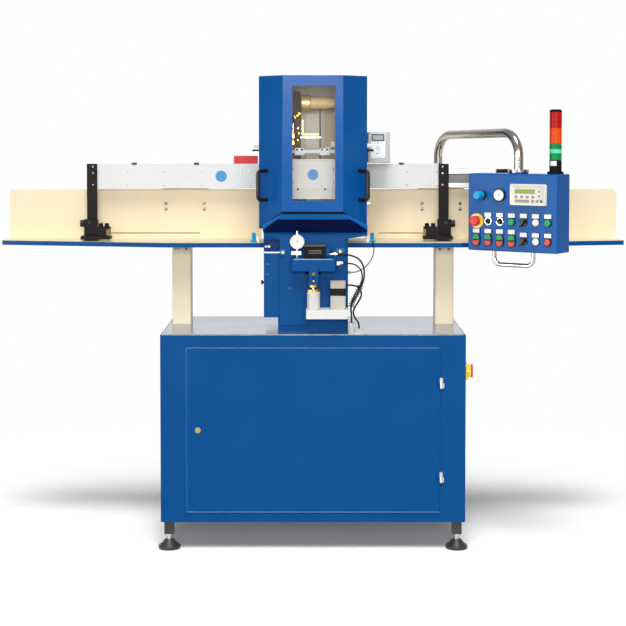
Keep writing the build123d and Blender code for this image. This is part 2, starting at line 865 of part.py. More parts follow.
def carriage_arm(outer_x, inward, reach):
    """Black arm with its carriage, clamp, gripper and pusher rod; inward is +1 or -1."""

    def span(a, b):
        ends = sorted((outer_x + inward * a, outer_x + inward * b))
        return ends[0], ends[1]

    key_height = groove_height - 2 * sliding_clearance
    carriage = block(*span(0, carriage_length), arm_back, carriage_back, axis_middle - carriage_height / 2,
                     axis_middle + carriage_height / 2)
    carriage += block(*span(0, carriage_length), carriage_back,
                      axis_front + groove_depth - sliding_clearance,
                      axis_middle - key_height / 2, axis_middle + key_height / 2)
    arm = block(*span(0, arm_width), arm_back - arm_thickness, arm_back, arm_bottom, arm_top)
    arm = chamfer(arm.edges().filter_by(Axis.Z), arm_chamfer)
    middle = (arm_back - arm_thickness) - clamp_block_size[1]
    clamp = block(*span(-clamp_overhang, clamp_block_size[0] - clamp_overhang), middle,
                  arm_back - arm_thickness, arm_bottom, arm_bottom + clamp_block_size[2])
    clamp = chamfer(clamp.edges().filter_by(Axis.Z), clamp_chamfer)
    screw_y = middle + clamp_block_size[1] / 2
    screw_z = arm_bottom + clamp_block_size[2] - clamp_screw_drop
    screw_end = clamp_screw_depth - clamp_overhang
    bore_ends = span(-clamp_overhang - overrun, screw_end + seat_gap)
    clamp -= rod((bore_ends[0], screw_y, screw_z), "x", bore_ends[1] - bore_ends[0],
                 clamp_screw_radius + running_clearance)
    plate_front = arm_back - clamp_plate_reach
    plate_bottom = arm_bottom - clamp_plate_thickness
    plate = block(*span(-clamp_plate_overhang, clamp_plate_length), plate_front, arm_back, plate_bottom,
                  arm_bottom)
    plate -= block(*span(gripper_start, clamp_plate_length + overrun),
                   plate_front + gripper_size[1] + gripper_foot,
                   arm_back + overrun, plate_bottom - overrun, arm_bottom + overrun)
    gripper_end = gripper_start + gripper_size[0]
    gripper = block(*span(gripper_start, gripper_end), plate_front, plate_front + gripper_size[1],
                    arm_bottom,
                    arm_bottom + gripper_size[2])
    gripper = chamfer(gripper.edges().filter_by(Axis.X), clamp_chamfer)
    for place in gripper_knob_places:
        knob_x = outer_x + inward * (gripper_start + place)
        knob_base = (knob_x, plate_front + gripper_size[1] / 2, arm_bottom + gripper_size[2])
        knob = rod(knob_base, "z", gripper_knob_height, gripper_knob_radius)
        gripper += chamfer(knob.edges().sort_by(Axis.Z)[-1], knob_chamfer)
    rod_start = span(gripper_end, gripper_end + reach)[0]
    pusher = rod((rod_start, 0, work_height), "x", reach, rod_radius)
    knob_back = -clamp_overhang - seat_gap
    knob_start = span(knob_back - clamp_knob_length, knob_back)[0]
    knob = rod((knob_start, screw_y, screw_z), "x", clamp_knob_length, clamp_knob_radius)
    knob = chamfer(knob.edges().filter_by(GeomType.CIRCLE), knob_chamfer)
    stem_start = span(knob_back, screw_end - seat_gap)[0]
    knob += rod((stem_start, screw_y, screw_z), "x", clamp_screw_depth, clamp_screw_radius)
    return (carriage, arm, clamp, plate, gripper, pusher), knob


left_arm_pieces, left_knob = carriage_arm(cover_left_span[0] - arm_width, 1, rod_length_left)
save("arm_left", *left_arm_pieces)
save("clamp_screw_left", left_knob)
right_arm_pieces, right_knob = carriage_arm(cover_right_span[1] + arm_width, -1, rod_length_right)
save("arm_right", *right_arm_pieces)
save("clamp_screw_right", right_knob)

# White covers, screwed to the carriages, and the blank plate on the left-hand one
cover_front = arm_back - cover_thickness
for name, (start, stop) in (("cover_left", cover_left_span), ("cover_right", cover_right_span)):
    cover = block(start, stop, cover_front, arm_back, axis_bottom - cover_drop, arm_top)
    cover = chamfer(cover.faces().sort_by(Axis.Y)[0].edges(), cover_chamfer)
    pieces = [cover]
    if name == "cover_left":
        plate_back_face = cover_front + blank_plate_thickness
        pieces.append(block(*blank_plate_span, cover_front, plate_back_face, arm_top,
                            arm_top + blank_plate_rise))
    save(name, *pieces)

# Workpiece sensors on the tray floors beside the funnel
sensors = []
for side_x in (-1, 1):
    x = side_x * sensor_offset
    width, depth, height = sensor_base
    base = block(x - width / 2, x + width / 2, sensor_depth - depth / 2, sensor_depth + depth / 2,
                 tray_level,
                 tray_level + height)
    barrel = rod((x, sensor_depth, tray_level + height), "z", sensor_height - height, sensor_radius)
    sensors.append(base + chamfer(barrel.edges().sort_by(Axis.Z)[-1], sensor_chamfer))
save("sensors", *sensors)

# Column: a welded box, open at the top for the regulating wheel
column = block(column_left, column_right, column_front, column_back, cabinet_top, column_top)
column -= block(
    column_left + column_wall,
    column_right - column_wall,
    column_front + column_wall,
    column_back - column_wall,
    cabinet_top + notch_height + column_wall,
    column_top + overrun,
)
column -= block(
    column_left - overrun,
    column_left + notch_width,
    column_front - overrun,
    column_back + overrun,
    cabinet_top - overrun,
    cabinet_top + notch_height,
)
passage_half = passage_width / 2
column -= block(column_left - overrun, column_right + overrun, -passage_half, passage_half,
                work_height - passage_drop, column_top + overrun)
slot_half = slot_width / 2
column -= block(-slot_half, slot_half, column_front - overrun, column_front + column_wall + overrun,
                slot_bottom,
                slot_top)
save("column", column)


def hood_outline(inset, back):
    """Half-octagon outline of the hood, moved inwards by a wall thickness."""
    side_shift = inset * tan(side_turn / 2)
    front_shift = inset * tan(front_turn / 2)
    return (
        (-hood_half_width + inset, back),
        (-hood_half_width + inset, hood_facet_back + side_shift),
        (-hood_front_half + front_shift, hood_front + inset),
        (hood_front_half - front_shift, hood_front + inset),
        (hood_half_width - inset, hood_facet_back + side_shift),
        (hood_half_width - inset, back),
    )


def below_hood(drop, thickness):
    """Slab under the hood's bottom edge, which rises along the facets to the front."""
    front = hood_front - hood_cut_margin
    rise = (hood_front_bottom - hood_side_bottom) / facet_rise
    upper = (
        (front, hood_front_bottom + hood_cut_margin * rise - drop),
        (hood_facet_back, hood_side_bottom - drop),
        (column_back + hood_cut_margin, hood_side_bottom - drop),
    )
    lower = tuple((y, z - thickness) for y, z in reversed(upper))
    reach = hood_half_width + hood_cut_margin
    return side_prism(upper + lower, -reach, reach)


# Front plate of the column with the splash funnel above it
head_bottom = column_top - front_head_height
head_corner = column_top - front_head_edge
head = (
    (column_left, column_top),
    (column_left, head_corner),
    (front_plate_left, head_bottom),
    (front_plate_right, head_bottom),
    (front_head_right, head_corner),
    (front_head_right, column_top),
)
front_plate = block(front_plate_left, front_plate_right, front_plate_front, column_front,
                    front_plate_bottom, head_bottom)
front_plate += front_prism(head, front_plate_front, column_front)
front_plate -= block(-slot_half, slot_half, front_plate_front - overrun, column_front + overrun,
                     slot_bottom,
                     slot_top)
foot_cut = front_plate_thickness
foot = (
    (column_left, funnel_back),
    (column_left, front_plate_front + foot_cut),
    (column_left + foot_cut, front_plate_front),
    (front_head_right - foot_cut, front_plate_front),
    (front_head_right, front_plate_front + foot_cut),
    (front_head_right, funnel_back),
)


def funnel_body(inset):
    """Ruled body between the front plate's head and the hood's outline."""
    low = [(max(min(x, front_head_right - inset), column_left + inset), max(y, front_plate_front + inset))
           for x, y in foot]
    low_face = Pos(0, 0, column_top) * make_face(Polyline(*low, close=True))
    high = hood_outline(inset, funnel_back)
    high_face = Pos(0, 0, hood_front_bottom) * make_face(Polyline(*high, close=True))
    return loft([low_face, high_face], ruled=True)


funnel = funnel_body(0) - funnel_body(funnel_sheet) & below_hood(seal_thickness + seat_gap, hood_top)
save("column_front_plate", front_plate, funnel)

# Hood: folded half-octagon with a top, open at the back and below
hood = prism(hood_outline(0, hood_back), hood_side_bottom, hood_top)
upright = hood.edges().filter_by(Axis.Z).group_by(Axis.Y)
hood = fillet([edge for group in upright[:-1] for edge in group], hood_edge)
hood = fillet(hood.edges().group_by(Axis.Z)[-1].group_by(Axis.Y)[:-1][0], hood_top_edge)
hood -= prism(hood_outline(hood_sheet, hood_back + overrun), hood_side_bottom - overrun,
              hood_top - hood_sheet)
hood -= below_hood(0, hood_top)
window_left = window_shift - window_width / 2
window_right = window_shift + window_width / 2
window_top = window_bottom + window_height
hood -= block(window_left, window_right, hood_front - overrun, hood_front + hood_sheet + overrun,
              window_bottom,
              window_top)
save("hood", hood)

pane_front = hood_front + hood_sheet
pane = block(
    window_left - pane_margin,
    window_right + pane_margin,
    pane_front,
    pane_front + pane_thickness,
    window_bottom - pane_margin,
    window_top + pane_margin,
)
save("hood_window", pane)

# Rubber seal along the hood's bottom edge
seal_low = hood_side_bottom - seal_thickness - overrun
seal_high = hood_front_bottom + overrun
seal = prism(hood_outline(0, funnel_back), seal_low, seal_high)
seal -= prism(hood_outline(seal_width, funnel_back + overrun), seal_low - overrun, seal_high + overrun)
save("hood_seal", seal & below_hood(0, seal_thickness))

# Bow handles on the two facets
facet_x = (hood_half_width + hood_front_half) / 2
facet_y = (hood_front + hood_facet_back) / 2
facet_length = hypot(facet_run, facet_rise)
along_x = facet_run / facet_length
along_y = facet_rise / facet_length
handles = []
for side_x in (-1, 1):
    base_x = side_x * (facet_x + handle_facet_offset * along_x)
    base_y = facet_y + handle_facet_offset * along_y
    tip_x = base_x + side_x * handle_stand_off * along_y
    tip_y = base_y - handle_stand_off * along_x
    low = handle_bottom + handle_radius
    high = handle_bottom + handle_height - handle_radius
    route = ((base_x, base_y, low), (tip_x, tip_y, low), (tip_x, tip_y, high), (base_x, base_y, high))
    handles.append(tube_along(route, 2 * handle_radius, handle_radius))
save("hood_handles", *handles)

# Head plate behind the wheels
head_plate = block(-head_plate_half, head_plate_half, head_plate_front, column_back, column_top,
                   head_plate_top)
save("head_plate", head_plate)

# Inner guard in front of the grinding wheel, with the clamp bar above it
guard = block(-guard_half_width, guard_half_width, guard_front, guard_front + guard_sheet, guard_bottom,
              guard_bottom + guard_height)
guard_back = guard_front + guard_sheet
for side_x in (-1, 1):
    edges = sorted((side_x * guard_half_width, side_x * (guard_half_width - guard_sheet)))
    guard += block(*edges, guard_back, head_plate_front, cheek_bottom, cheek_top)
for hole_x in guard_hole_centers:
    hole_start = (hole_x, guard_front - overrun, guard_bottom + guard_hole_rise)
    guard -= rod(hole_start, "y", guard_sheet + 2 * overrun, guard_hole_radius)
bar_half = guard_half_width - guard_sheet
bar_y = guard_back + clamp_bar_size[0]
clamp_bar = block(-bar_half, bar_half, bar_y - clamp_bar_size[0] / 2, bar_y + clamp_bar_size[0] / 2,
                  clamp_bar_level - clamp_bar_size[1] / 2, clamp_bar_level + clamp_bar_size[1] / 2)
guard_pieces = [guard]
for center in bar_block_centers:
    width, depth, height = bar_block_size
    bar_block = block(center - width / 2, center + width / 2, bar_y - depth / 2, bar_y + depth / 2,
                      clamp_bar_level - height / 2, clamp_bar_level + height / 2)
    bar_block = chamfer(bar_block.edges(), bar_block_chamfer)
    for offset in (-width / 4, width / 4):
        hole_start = (center + offset, bar_y - depth / 2 - overrun, clamp_bar_level + height / 4)
        bar_block -= rod(hole_start, "y", depth / 2, bar_block_hole)
    guard_pieces.append(bar_block - clamp_bar)
save("inner_guard", *guard_pieces, clamp_bar)

# Wheel dresser on its upright way above the grinding wheel
way_width, way_depth, way_height = dresser_way
way_front = head_plate_front - way_depth
way_top = dresser_way_bottom + way_height
dresser_way_plate = block(-way_width / 2, way_width / 2, way_front, head_plate_front, dresser_way_bottom,
                          way_top)
dresser_axis = (dresser_axis_depth, dresser_axis_height)
dresser_body = rod((dresser_wheel_end, *dresser_axis), "x", dresser_body_length, dresser_body_radius)
tail_start = dresser_wheel_end + dresser_body_length
dresser_body += rod((tail_start, *dresser_axis), "x", dresser_tail_length, dresser_tail_radius)
dresser_body += block(0, dresser_body_length / 2, dresser_axis_depth, way_front,
                      dresser_axis_height - dresser_body_radius / 2,
                      dresser_axis_height + dresser_body_radius / 2)
wheel_start = dresser_wheel_end - dresser_wheel_width
dresser_wheel = rod((wheel_start, *dresser_axis), "x", dresser_wheel_width, dresser_wheel_radius)
dresser_wheel = chamfer(dresser_wheel.edges().filter_by(GeomType.CIRCLE), dresser_chamfer)
grinding_top = grinding_height + grinding_radius
diamond_arm_bottom = dresser_way_bottom + diamond_arm_rise
diamond_arm = block(-diamond_arm_width / 2, diamond_arm_width / 2, diamond_arm_front, way_front,
                    diamond_arm_bottom, diamond_arm_bottom + diamond_arm_height)
diamond_tip = grinding_top + diamond_gap
diamond_arm += rod((0, 0, diamond_tip), "z", diamond_arm_bottom + overrun - diamond_tip, diamond_radius)
save("dresser", dresser_way_plate, dresser_body, dresser_wheel, diamond_arm)

# Spindle motor and the grinding wheel on its arbor
motor_start, motor_end = motor_span
motor = rod((motor_start, 0, grinding_height), "x", motor_end - motor_start, motor_radius)
motor = chamfer(motor.edges().filter_by(GeomType.CIRCLE), motor_chamfer)
motor += block(motor_start + motor_foot_insets[0], motor_end - motor_foot_insets[1], 0, head_plate_front,
               grinding_height - motor_radius / 2, grinding_height + motor_radius / 2)
arbor_end = motor_end - arbor_short
bore_length = arbor_end + arbor_end_gap - motor_start + overrun
motor -= rod((motor_start - overrun, 0, grinding_height), "x", bore_length,
             arbor_radius + running_clearance)
save("spindle_motor", motor)

half = grinding_width / 2
wheel = rod((-half, 0, grinding_height), "x", grinding_width, grinding_radius)
wheel = chamfer(wheel.edges().filter_by(GeomType.CIRCLE), wheel_chamfer)
wheel -= rod((-half - overrun, 0, grinding_height), "x", grinding_width + 2 * overrun, grinding_bore)
arbor = rod((-half - flange_width, 0, grinding_height), "x", arbor_end + half + flange_width, arbor_radius)
arbor += rod((-half, 0, grinding_height), "x", grinding_width, grinding_bore)
arbor += rod((-half - flange_width, 0, grinding_height), "x", flange_width, flange_radius)
arbor += rod((half, 0, grinding_height), "x", flange_width, flange_radius)
save("grinding_wheel", wheel, arbor)

# Regulating wheel on its shaft, carried by the yoke of the infeed slide
half = regulating_width / 2
yoke_inner = half + wheel_side_gap
yoke_outer = yoke_inner + yoke_thickness
regulating = rod((-half, 0, regulating_height), "x", regulating_width, regulating_radius)
regulating = chamfer(regulating.edges().filter_by(GeomType.CIRCLE), wheel_chamfer)
shaft_half = yoke_outer + shaft_overhang
regulating += rod((-shaft_half, 0, regulating_height), "x", 2 * shaft_half, regulating_shaft)
save("regulating_wheel", regulating)

# Infeed slide: box in front, neck through the slot, yoke inside the column
slide = block(slide_left, slide_right, slide_front, slide_back, slide_bottom, slide_top)
slide = chamfer(slide.faces().sort_by(Axis.Y)[0].edges(), slide_chamfer)
neck_half = slide_neck_width / 2
neck_bottom = slide_bottom + (slide_height - slide_neck_height) / 2
neck_top = neck_bottom + slide_neck_height
yoke_front = -regulating_radius - wheel_side_gap
slide += block(-neck_half, neck_half, slide_back, yoke_front - yoke_thickness, neck_bottom, neck_top)
slide += block(-yoke_outer, yoke_outer, yoke_front - yoke_thickness, yoke_front, neck_bottom, neck_top)
for side_x in (-1, 1):
    edges = sorted((side_x * yoke_inner, side_x * yoke_outer))
    cheek = block(*edges, yoke_front, 2 * regulating_shaft, neck_bottom,
                  regulating_height + 2 * regulating_shaft)
    cheek -= rod((edges[0] - overrun, 0, regulating_height), "x", yoke_thickness + 2 * overrun,
                 regulating_shaft + running_clearance)
    slide += cheek
lever_left = screw_x - lever_width / 2
lever_right = screw_x + lever_width / 2
lever = block(lever_left, lever_right, slide_front - lever_thickness, slide_front, lever_bottom,
              slide_bottom + slide_height / 2)
lever += block(lever_left, lever_right, screw_y - lever_width / 2, screw_y + lever_width / 2, lever_bottom,
               lever_bottom + lever_foot_height)
lever_bore_length = lever_foot_height + 2 * overrun + infeed_travel
lever -= rod((screw_x, screw_y, lever_bottom - overrun), "z", lever_bore_length,
             screw_radius + running_clearance)
nut = rod((screw_x, screw_y, nut_bottom), "z", nut_block_height, nut_block_radius)
nut = chamfer(nut.edges().filter_by(GeomType.CIRCLE), nut_chamfer)
nut -= rod((screw_x, screw_y, nut_bottom - overrun), "z", nut_block_height + 2 * overrun,
           screw_radius + running_clearance)
dial_y = front_plate_front - dial_stand_off
plunger_length = dial_height - dial_radius - slide_top
plunger = rod((dial_x, dial_y, slide_top), "z", plunger_length, dial_plunger_radius)
save("infeed_slide", slide, lever, nut, plunger)

# Infeed screw with its belt pulley, and the housings that hold them
pulley_bottom = belt_housing_bottom + belt_housing_wall + pulley_lift
screw_top = lever_bottom + screw_engagement
screw = rod((screw_x, screw_y, pulley_bottom), "z", screw_top - pulley_bottom, screw_radius)
screw += rod((screw_x, screw_y, pulley_bottom), "z", pulley_height, pulley_radius)
save("infeed_screw", screw)
belt_back = front_plate_front
belt_front = belt_back - belt_housing_reach
belt_housing = block(belt_housing_left, belt_housing_right, belt_front, belt_back, belt_housing_bottom,
                     belt_housing_top)
belt_housing = fillet(belt_housing.edges().filter_by(Axis.Z), belt_housing_corner)
belt_housing -= block(
    belt_housing_left + belt_housing_wall,
    belt_housing_right - belt_housing_wall,
    belt_front + belt_housing_wall,
    belt_back - belt_housing_wall,
    belt_housing_bottom + belt_housing_wall,
    belt_housing_top - belt_housing_wall,
)
bore_bottom = belt_housing_top - belt_housing_wall - overrun
screw_bore = rod((screw_x, screw_y, bore_bottom), "z", screw_housing_top + overrun - bore_bottom,
                 screw_radius + running_clearance)
housing_pieces = [belt_housing - screw_bore]
flange_level = screw_housing_top - screw_flange_height
for low, high in ((belt_housing_top, flange_level), (flange_level, screw_housing_top)):
    section = rod((screw_x, screw_y, low), "z", high - low, screw_housing_radius)
    section = chamfer(section.edges().filter_by(GeomType.CIRCLE), nut_chamfer)
    housing_pieces.append(section - screw_bore)
save("infeed_housing", *housing_pieces)

# Stepper motor on the belt housing, and the ribbed feed unit above the slide
feed_pieces = []
half = stepper_size / 2
level = belt_housing_top
for height, inset in stepper_layers:
    reach = half - inset
    layer = block(stepper_x - reach, stepper_x + reach, screw_y - reach, screw_y + reach, level,
                  level + height)
    feed_pieces.append(chamfer(layer.edges().filter_by(Axis.Z), stepper_chamfer))
    level += height
unit_width, unit_depth, unit_height = feed_unit_size
unit_bottom = slide_top + feed_unit_lift
unit_left = feed_unit_center - unit_width / 2
rib_pitch = unit_width / feed_unit_ribs
unit_front = front_plate_front - unit_depth
unit_top = unit_bottom + unit_height
unit = block(unit_left, unit_left + unit_width, unit_front, front_plate_front, unit_bottom, unit_top)
for index in range(feed_unit_ribs):
    rib_x = unit_left + index * rib_pitch + rib_pitch / 4
    unit += block(rib_x, rib_x + rib_pitch / 2, unit_front - feed_unit_rib_depth, unit_front, unit_bottom,
                  unit_top)
feed_pieces.append(unit)
save("feed_motors", *feed_pieces)

# Dial gauge on its bracket; its plunger follows the slide
dial = rod((dial_x, dial_y - dial_depth / 2, dial_height), "y", dial_depth, dial_radius)
dial = chamfer(dial.edges().sort_by(Axis.Y)[0], dial_chamfer)
stem_bottom = slide_top + dial_stem_gap
dial += rod((dial_x, dial_y, stem_bottom), "z", dial_height - stem_bottom, dial_stem_radius)
dial += rod((dial_x, dial_y, dial_height), "z", dial_radius + dial_cap_height, dial_stem_radius)
dial -= rod((dial_x, dial_y, slide_top), "z", plunger_length + dial_plunger_pocket,
            dial_plunger_radius + running_clearance)
bracket_width_x, bracket_height, bracket_margin = dial_bracket
bracket_bottom = stem_bottom + dial_bracket_lift
holder = block(dial_x - bracket_width_x / 2, dial_x + bracket_margin, dial_y - bracket_margin / 2,
               front_plate_front,
               bracket_bottom, bracket_bottom + bracket_height)
holder -= rod((dial_x, dial_y, bracket_bottom - overrun), "z", bracket_height + 2 * overrun,
              dial_stem_radius)
save("dial_gauge", dial, holder)

# Work rest: a thin blade that reaches from the column's back wall into the grinding gap
blade_half = regulating_width / 2 + blade_overhang
rest_back = column_back - column_wall
work_rest = block(-blade_half, blade_half, blade_tip, rest_back, work_height - blade_thickness / 2,
                  work_height + blade_thickness / 2)
holder_middle = work_height - holder_drop
work_rest += block(-blade_half, blade_half, blade_root, rest_back, holder_middle - holder_thickness / 2,
                   holder_middle + holder_thickness / 2)
save("work_rest", work_rest)

# Inverter beside the hood, on a bracket behind the head plate
width, depth, height = inverter_size
inverter = block(inverter_left, inverter_left + width, column_back - depth, column_back, inverter_bottom,
                 inverter_bottom + height)
inverter = fillet(inverter.faces().sort_by(Axis.Y)[0].edges(), inverter_edge)
inverter_plate = block(
    head_plate_half - inverter_bracket_lip,
    inverter_left + width,
    column_back,
    column_back + inverter_bracket,
    inverter_bottom + inverter_bracket_inset,
    inverter_bottom + height - inverter_bracket_inset,
)
save("inverter", inverter, inverter_plate)

# Carrying tube for the pendant, clamped to the right-hand bracket
tube_route = (
    (tube_x, tube_y, tube_foot),
    (tube_x, tube_y, tube_top),
    (pendant_x, pendant_y, tube_top + tube_slope),
    (pendant_x, pendant_y, flange_top),
)
tube_pieces = [tube_along(tube_route, tube_bend, tube_radius, tube_radius - tube_wall)]
clamp_half = tube_clamp[0] / 2
for level in tube_clamp_levels:
    clamp = block(
        tube_x - clamp_half,
        tube_x + clamp_half,
        panel_back + bracket_thickness,
        tube_y + tube_radius + tube_clamp_wall,
        level - tube_clamp[1] / 2,
        level + tube_clamp[1] / 2,
    )
    clamp = chamfer(clamp.edges().filter_by(Axis.Z).group_by(Axis.Y)[-1], tube_clamp_chamfer)
    tube_pieces.append(clamp - rod((tube_x, tube_y, level - tube_clamp[1]), "z", 2 * tube_clamp[1],
                                   tube_radius))
flange = rod((pendant_x, pendant_y, flange_bottom), "z", swivel_flange_height, swivel_flange_radius)
flange = chamfer(flange.edges().filter_by(GeomType.CIRCLE), swivel_flange_chamfer)
pin_bottom = flange_bottom - swivel_pin_length
flange += rod((pendant_x, pendant_y, pin_bottom), "z", swivel_pin_length, swivel_pin_radius)
tube_pieces.append(flange)
save("carrying_tube", *tube_pieces)

# Pendant, modelled about its swivel axis with the controls facing -Y, then turned to the operator
pendant_place = Pos(pendant_x, pendant_y, 0) * Rot(0, 0, -pendant_turn)
panel_y = -pendant_depth / 2
control_columns = [(index - 3) * column_pitch for index in range(7)]
stem_hole = button_stem + running_clearance
push_names = {"green_button_1": (3, 0), "green_button_2": (6, 0), "red_button": (6, 1)}
selector_names = {"key_switch": (1, 0), "selector_1": (2, 0), "selector_2": (4, 0), "selector_3": (4, 1)}
selector_grips = {
    "key_switch": (key_grip, -selector_turn),
    "selector_1": (selector_grip, -selector_turn),
    "selector_2": (lever_grip, selector_turn),
    "selector_3": (lever_grip, selector_turn),
}
lamp_places = ((5, 0), (5, 1))
double_columns = (0, 1, 2, 3)
stop_place = (0, 0)
half = pendant_width / 2
pendant = block(-half, half, panel_y, -panel_y, pendant_bottom, pendant_top)
pendant = fillet(pendant.edges(), pendant_edge)
pendant -= block(-half + pendant_wall, half - pendant_wall, panel_y + pendant_wall, -panel_y - pendant_wall,
                 pendant_bottom + pendant_wall, pendant_top - pendant_wall)
pendant += rod((0, 0, pendant_top), "z", swivel_boss_height, swivel_flange_radius - swivel_boss_margin)
pin_hole_bottom = pendant_top - pendant_wall - overrun
pendant -= rod((0, 0, pin_hole_bottom), "z", flange_bottom - pin_hole_bottom,
               swivel_pin_radius + running_clearance)


def control_at(column, row):
    """Centre of a control on the pendant's face: its X and Z."""
    return control_columns[column], row_levels[row]


def face_disc(x, z, start, stop, radius):
    """Disc on the pendant's face; start and stop count outwards from the panel."""
    return rod((x, panel_y - stop, z), "y", stop - start, radius)


fittings = []
for column, row in list(push_names.values()) + list(selector_names.values()) + [stop_place]:
    x, z = control_at(column, row)
    pendant -= face_disc(x, z, -pendant_wall - overrun, overrun, stem_hole)
pendant -= face_disc(*regulator_center, -pendant_wall - overrun, overrun, stem_hole)
save("pendant_box", pendant_place * pendant)

# Bezels, label plates, lamps, operator panel, pressure gauge and pull handle
for column, row in list(push_names.values()) + list(selector_names.values()):
    x, z = control_at(column, row)
    bezel = face_disc(x, z, 0, bezel_height, bezel_radius)
    bezel = chamfer(bezel.edges().sort_by(Axis.Y)[0], control_chamfer)
    fittings.append(bezel - face_disc(x, z, -overrun, bezel_height + overrun, bezel_bore))
for column, row in lamp_places:
    x, z = control_at(column, row)
    lamp = face_disc(x, z, 0, bezel_height, bezel_radius)
    lamp += face_disc(x, z, bezel_height, 2 * bezel_height, button_radius)
    fittings.append(chamfer(lamp.edges().sort_by(Axis.Y)[0], fitting_chamfer))
rocker_pin_y = panel_y - rocker_lift - rocker_pin_depth
frame_width, frame_depth, frame_height = rocker_frame
pin_bore_half = frame_width / 2 - rocker_pin_wall
frame_open = (rocker_size[0] + 2 * rocker_gap, rocker_size[2] + 2 * rocker_gap)
for column in double_columns:
    x, z = control_at(column, 1)
    frame = block(x - frame_width / 2, x + frame_width / 2, panel_y - frame_depth, panel_y,
                  z - frame_height / 2,
                  z + frame_height / 2)
    frame = fillet(frame.edges().filter_by(Axis.Y), rocker_frame_corner)
    opening = block(x - frame_open[0] / 2, x + frame_open[0] / 2, panel_y - frame_depth - overrun,
                    panel_y + overrun, z - frame_open[1] / 2, z + frame_open[1] / 2)
    frame -= fillet(opening.edges().filter_by(Axis.Y), rocker_corner + rocker_gap)
    frame -= rod((x - pin_bore_half, rocker_pin_y, z), "x", 2 * pin_bore_half,
                 rocker_pin_radius + running_clearance)
    fittings.append(frame)
label_width, label_depth, label_height = label_plate
for row, level in enumerate(row_levels):
    for column, x in enumerate(control_columns):
        if (column, row) == stop_place:
            continue
        z = level + (double_label_rise if row == 1 and column in double_columns else label_rise)
        fittings.append(block(x - label_width / 2, x + label_width / 2, panel_y - label_depth, panel_y,
                              z - label_height / 2, z + label_height / 2))
x, z = control_at(*stop_place)
stop_ring = face_disc(x, z, 0, stop_plate_height, stop_plate_radius)
fittings.append(stop_ring - face_disc(x, z, -overrun, stop_plate_height + overrun, stop_hole_radius))
width, depth, height = display_size
x, z = display_center
display = block(x - width / 2, x + width / 2, panel_y - depth, panel_y, z - height / 2, z + height / 2)
fittings.append(chamfer(display.faces().sort_by(Axis.Y)[0].edges(), fitting_chamfer))
gauge = face_disc(*gauge_center, 0, gauge_height, gauge_radius)
fittings.append(chamfer(gauge.edges().sort_by(Axis.Y)[0], fitting_chamfer))
regulator_base = face_disc(*regulator_center, 0, regulator_base_height,
                           regulator_radius + regulator_base_margin)
regulator_hole = button_stem + regulator_hole_gap
regulator_base -= face_disc(*regulator_center, -overrun, regulator_base_height + overrun, regulator_hole)
fittings.append(regulator_base)
pull_half = pull_width / 2
pull_low = pendant_bottom - pull_drop
pull_y = panel_y + pull_setback
pull_route = (
    (-pull_half, pull_y, pendant_bottom),
    (-pull_half, pull_y, pull_low),
    (pull_half, pull_y, pull_low),
    (pull_half, pull_y, pendant_bottom),
)
fittings.append(tube_along(pull_route, pull_bend, pull_radius))
save("pendant_fittings", *[pendant_place * piece for piece in fittings])

# Push-buttons, selectors, emergency stop, regulator knob and double buttons
cap_back = button_travel + sliding_clearance
cap_front = cap_back + button_proud


def control_stem(x, z, start):
    """Stem from a control's cap through the panel."""
    return face_disc(x, z, -button_stem_length, start, button_stem)


for name, place in push_names.items():
    x, z = control_at(*place)
    cap = face_disc(x, z, cap_back, cap_front, button_radius)
    cap = chamfer(cap.edges().sort_by(Axis.Y)[0], control_chamfer)
    save(name, pendant_place * (cap + control_stem(x, z, cap_back)))
for name, place in selector_names.items():
    x, z = control_at(*place)
    knob = face_disc(x, z, selector_gap, bezel_height + selector_proud, button_radius)
    (grip_width, grip_height, grip_low, grip_high), turn = selector_grips[name]
    grip_top = panel_y - bezel_height - selector_proud
    grip = block(-grip_width / 2, grip_width / 2, grip_top - grip_height, grip_top, grip_low, grip_high)
    knob += Pos(x, 0, z) * Rot(0, turn, 0) * grip
    save(name, pendant_place * (knob + control_stem(x, z, selector_gap)))
x, z = control_at(*stop_place)
stop_back = stop_plate_height + button_travel + stop_lift
mushroom = face_disc(x, z, stop_back, stop_back + stop_height, stop_radius)
mushroom = fillet(mushroom.edges().sort_by(Axis.Y)[0], stop_edge)
save("emergency_stop", pendant_place * (mushroom + control_stem(x, z, stop_back)))
knob_start = regulator_base_height + seat_gap
knob = face_disc(*regulator_center, knob_start, regulator_height, regulator_radius)
knob = chamfer(knob.edges().sort_by(Axis.Y)[0], regulator_chamfer)
knob += control_stem(*regulator_center, knob_start)
save("regulator_knob", pendant_place * knob)
pin_half = pin_bore_half - rocker_pin_end_gap
for index, column in enumerate(double_columns):
    x, z = control_at(column, 1)
    rocker = block(x - rocker_size[0] / 2, x + rocker_size[0] / 2, panel_y - rocker_lift - rocker_size[1],
                   panel_y - rocker_lift, z - rocker_size[2] / 2, z + rocker_size[2] / 2)
    rocker = fillet(rocker.edges().filter_by(Axis.Y), rocker_corner)
    rocker += rod((x - pin_half, rocker_pin_y, z), "x", 2 * pin_half, rocker_pin_radius)
    save(f"double_button_{index + 1}", pendant_place * rocker)

# Signal tower on the pendant
tower_pieces = [rod((tower_offset, 0, pendant_top), "z", tower_base_height, tower_base_radius)]
level = pendant_top + tower_base_height
for height in (tower_foot_height, tower_lens_height, tower_lens_height, tower_lens_height):
    section = rod((tower_offset, 0, level), "z", height, tower_radius)
    tower_pieces.append(chamfer(section.edges().filter_by(GeomType.CIRCLE), tower_seam))
    level += height
cap = rod((tower_offset, 0, level), "z", tower_cap_height, tower_radius)
tower_pieces.append(fillet(cap.edges().sort_by(Axis.Z)[-1], tower_cap_height - tower_cap_flat))
save("signal_tower", *[pendant_place * piece for piece in tower_pieces])

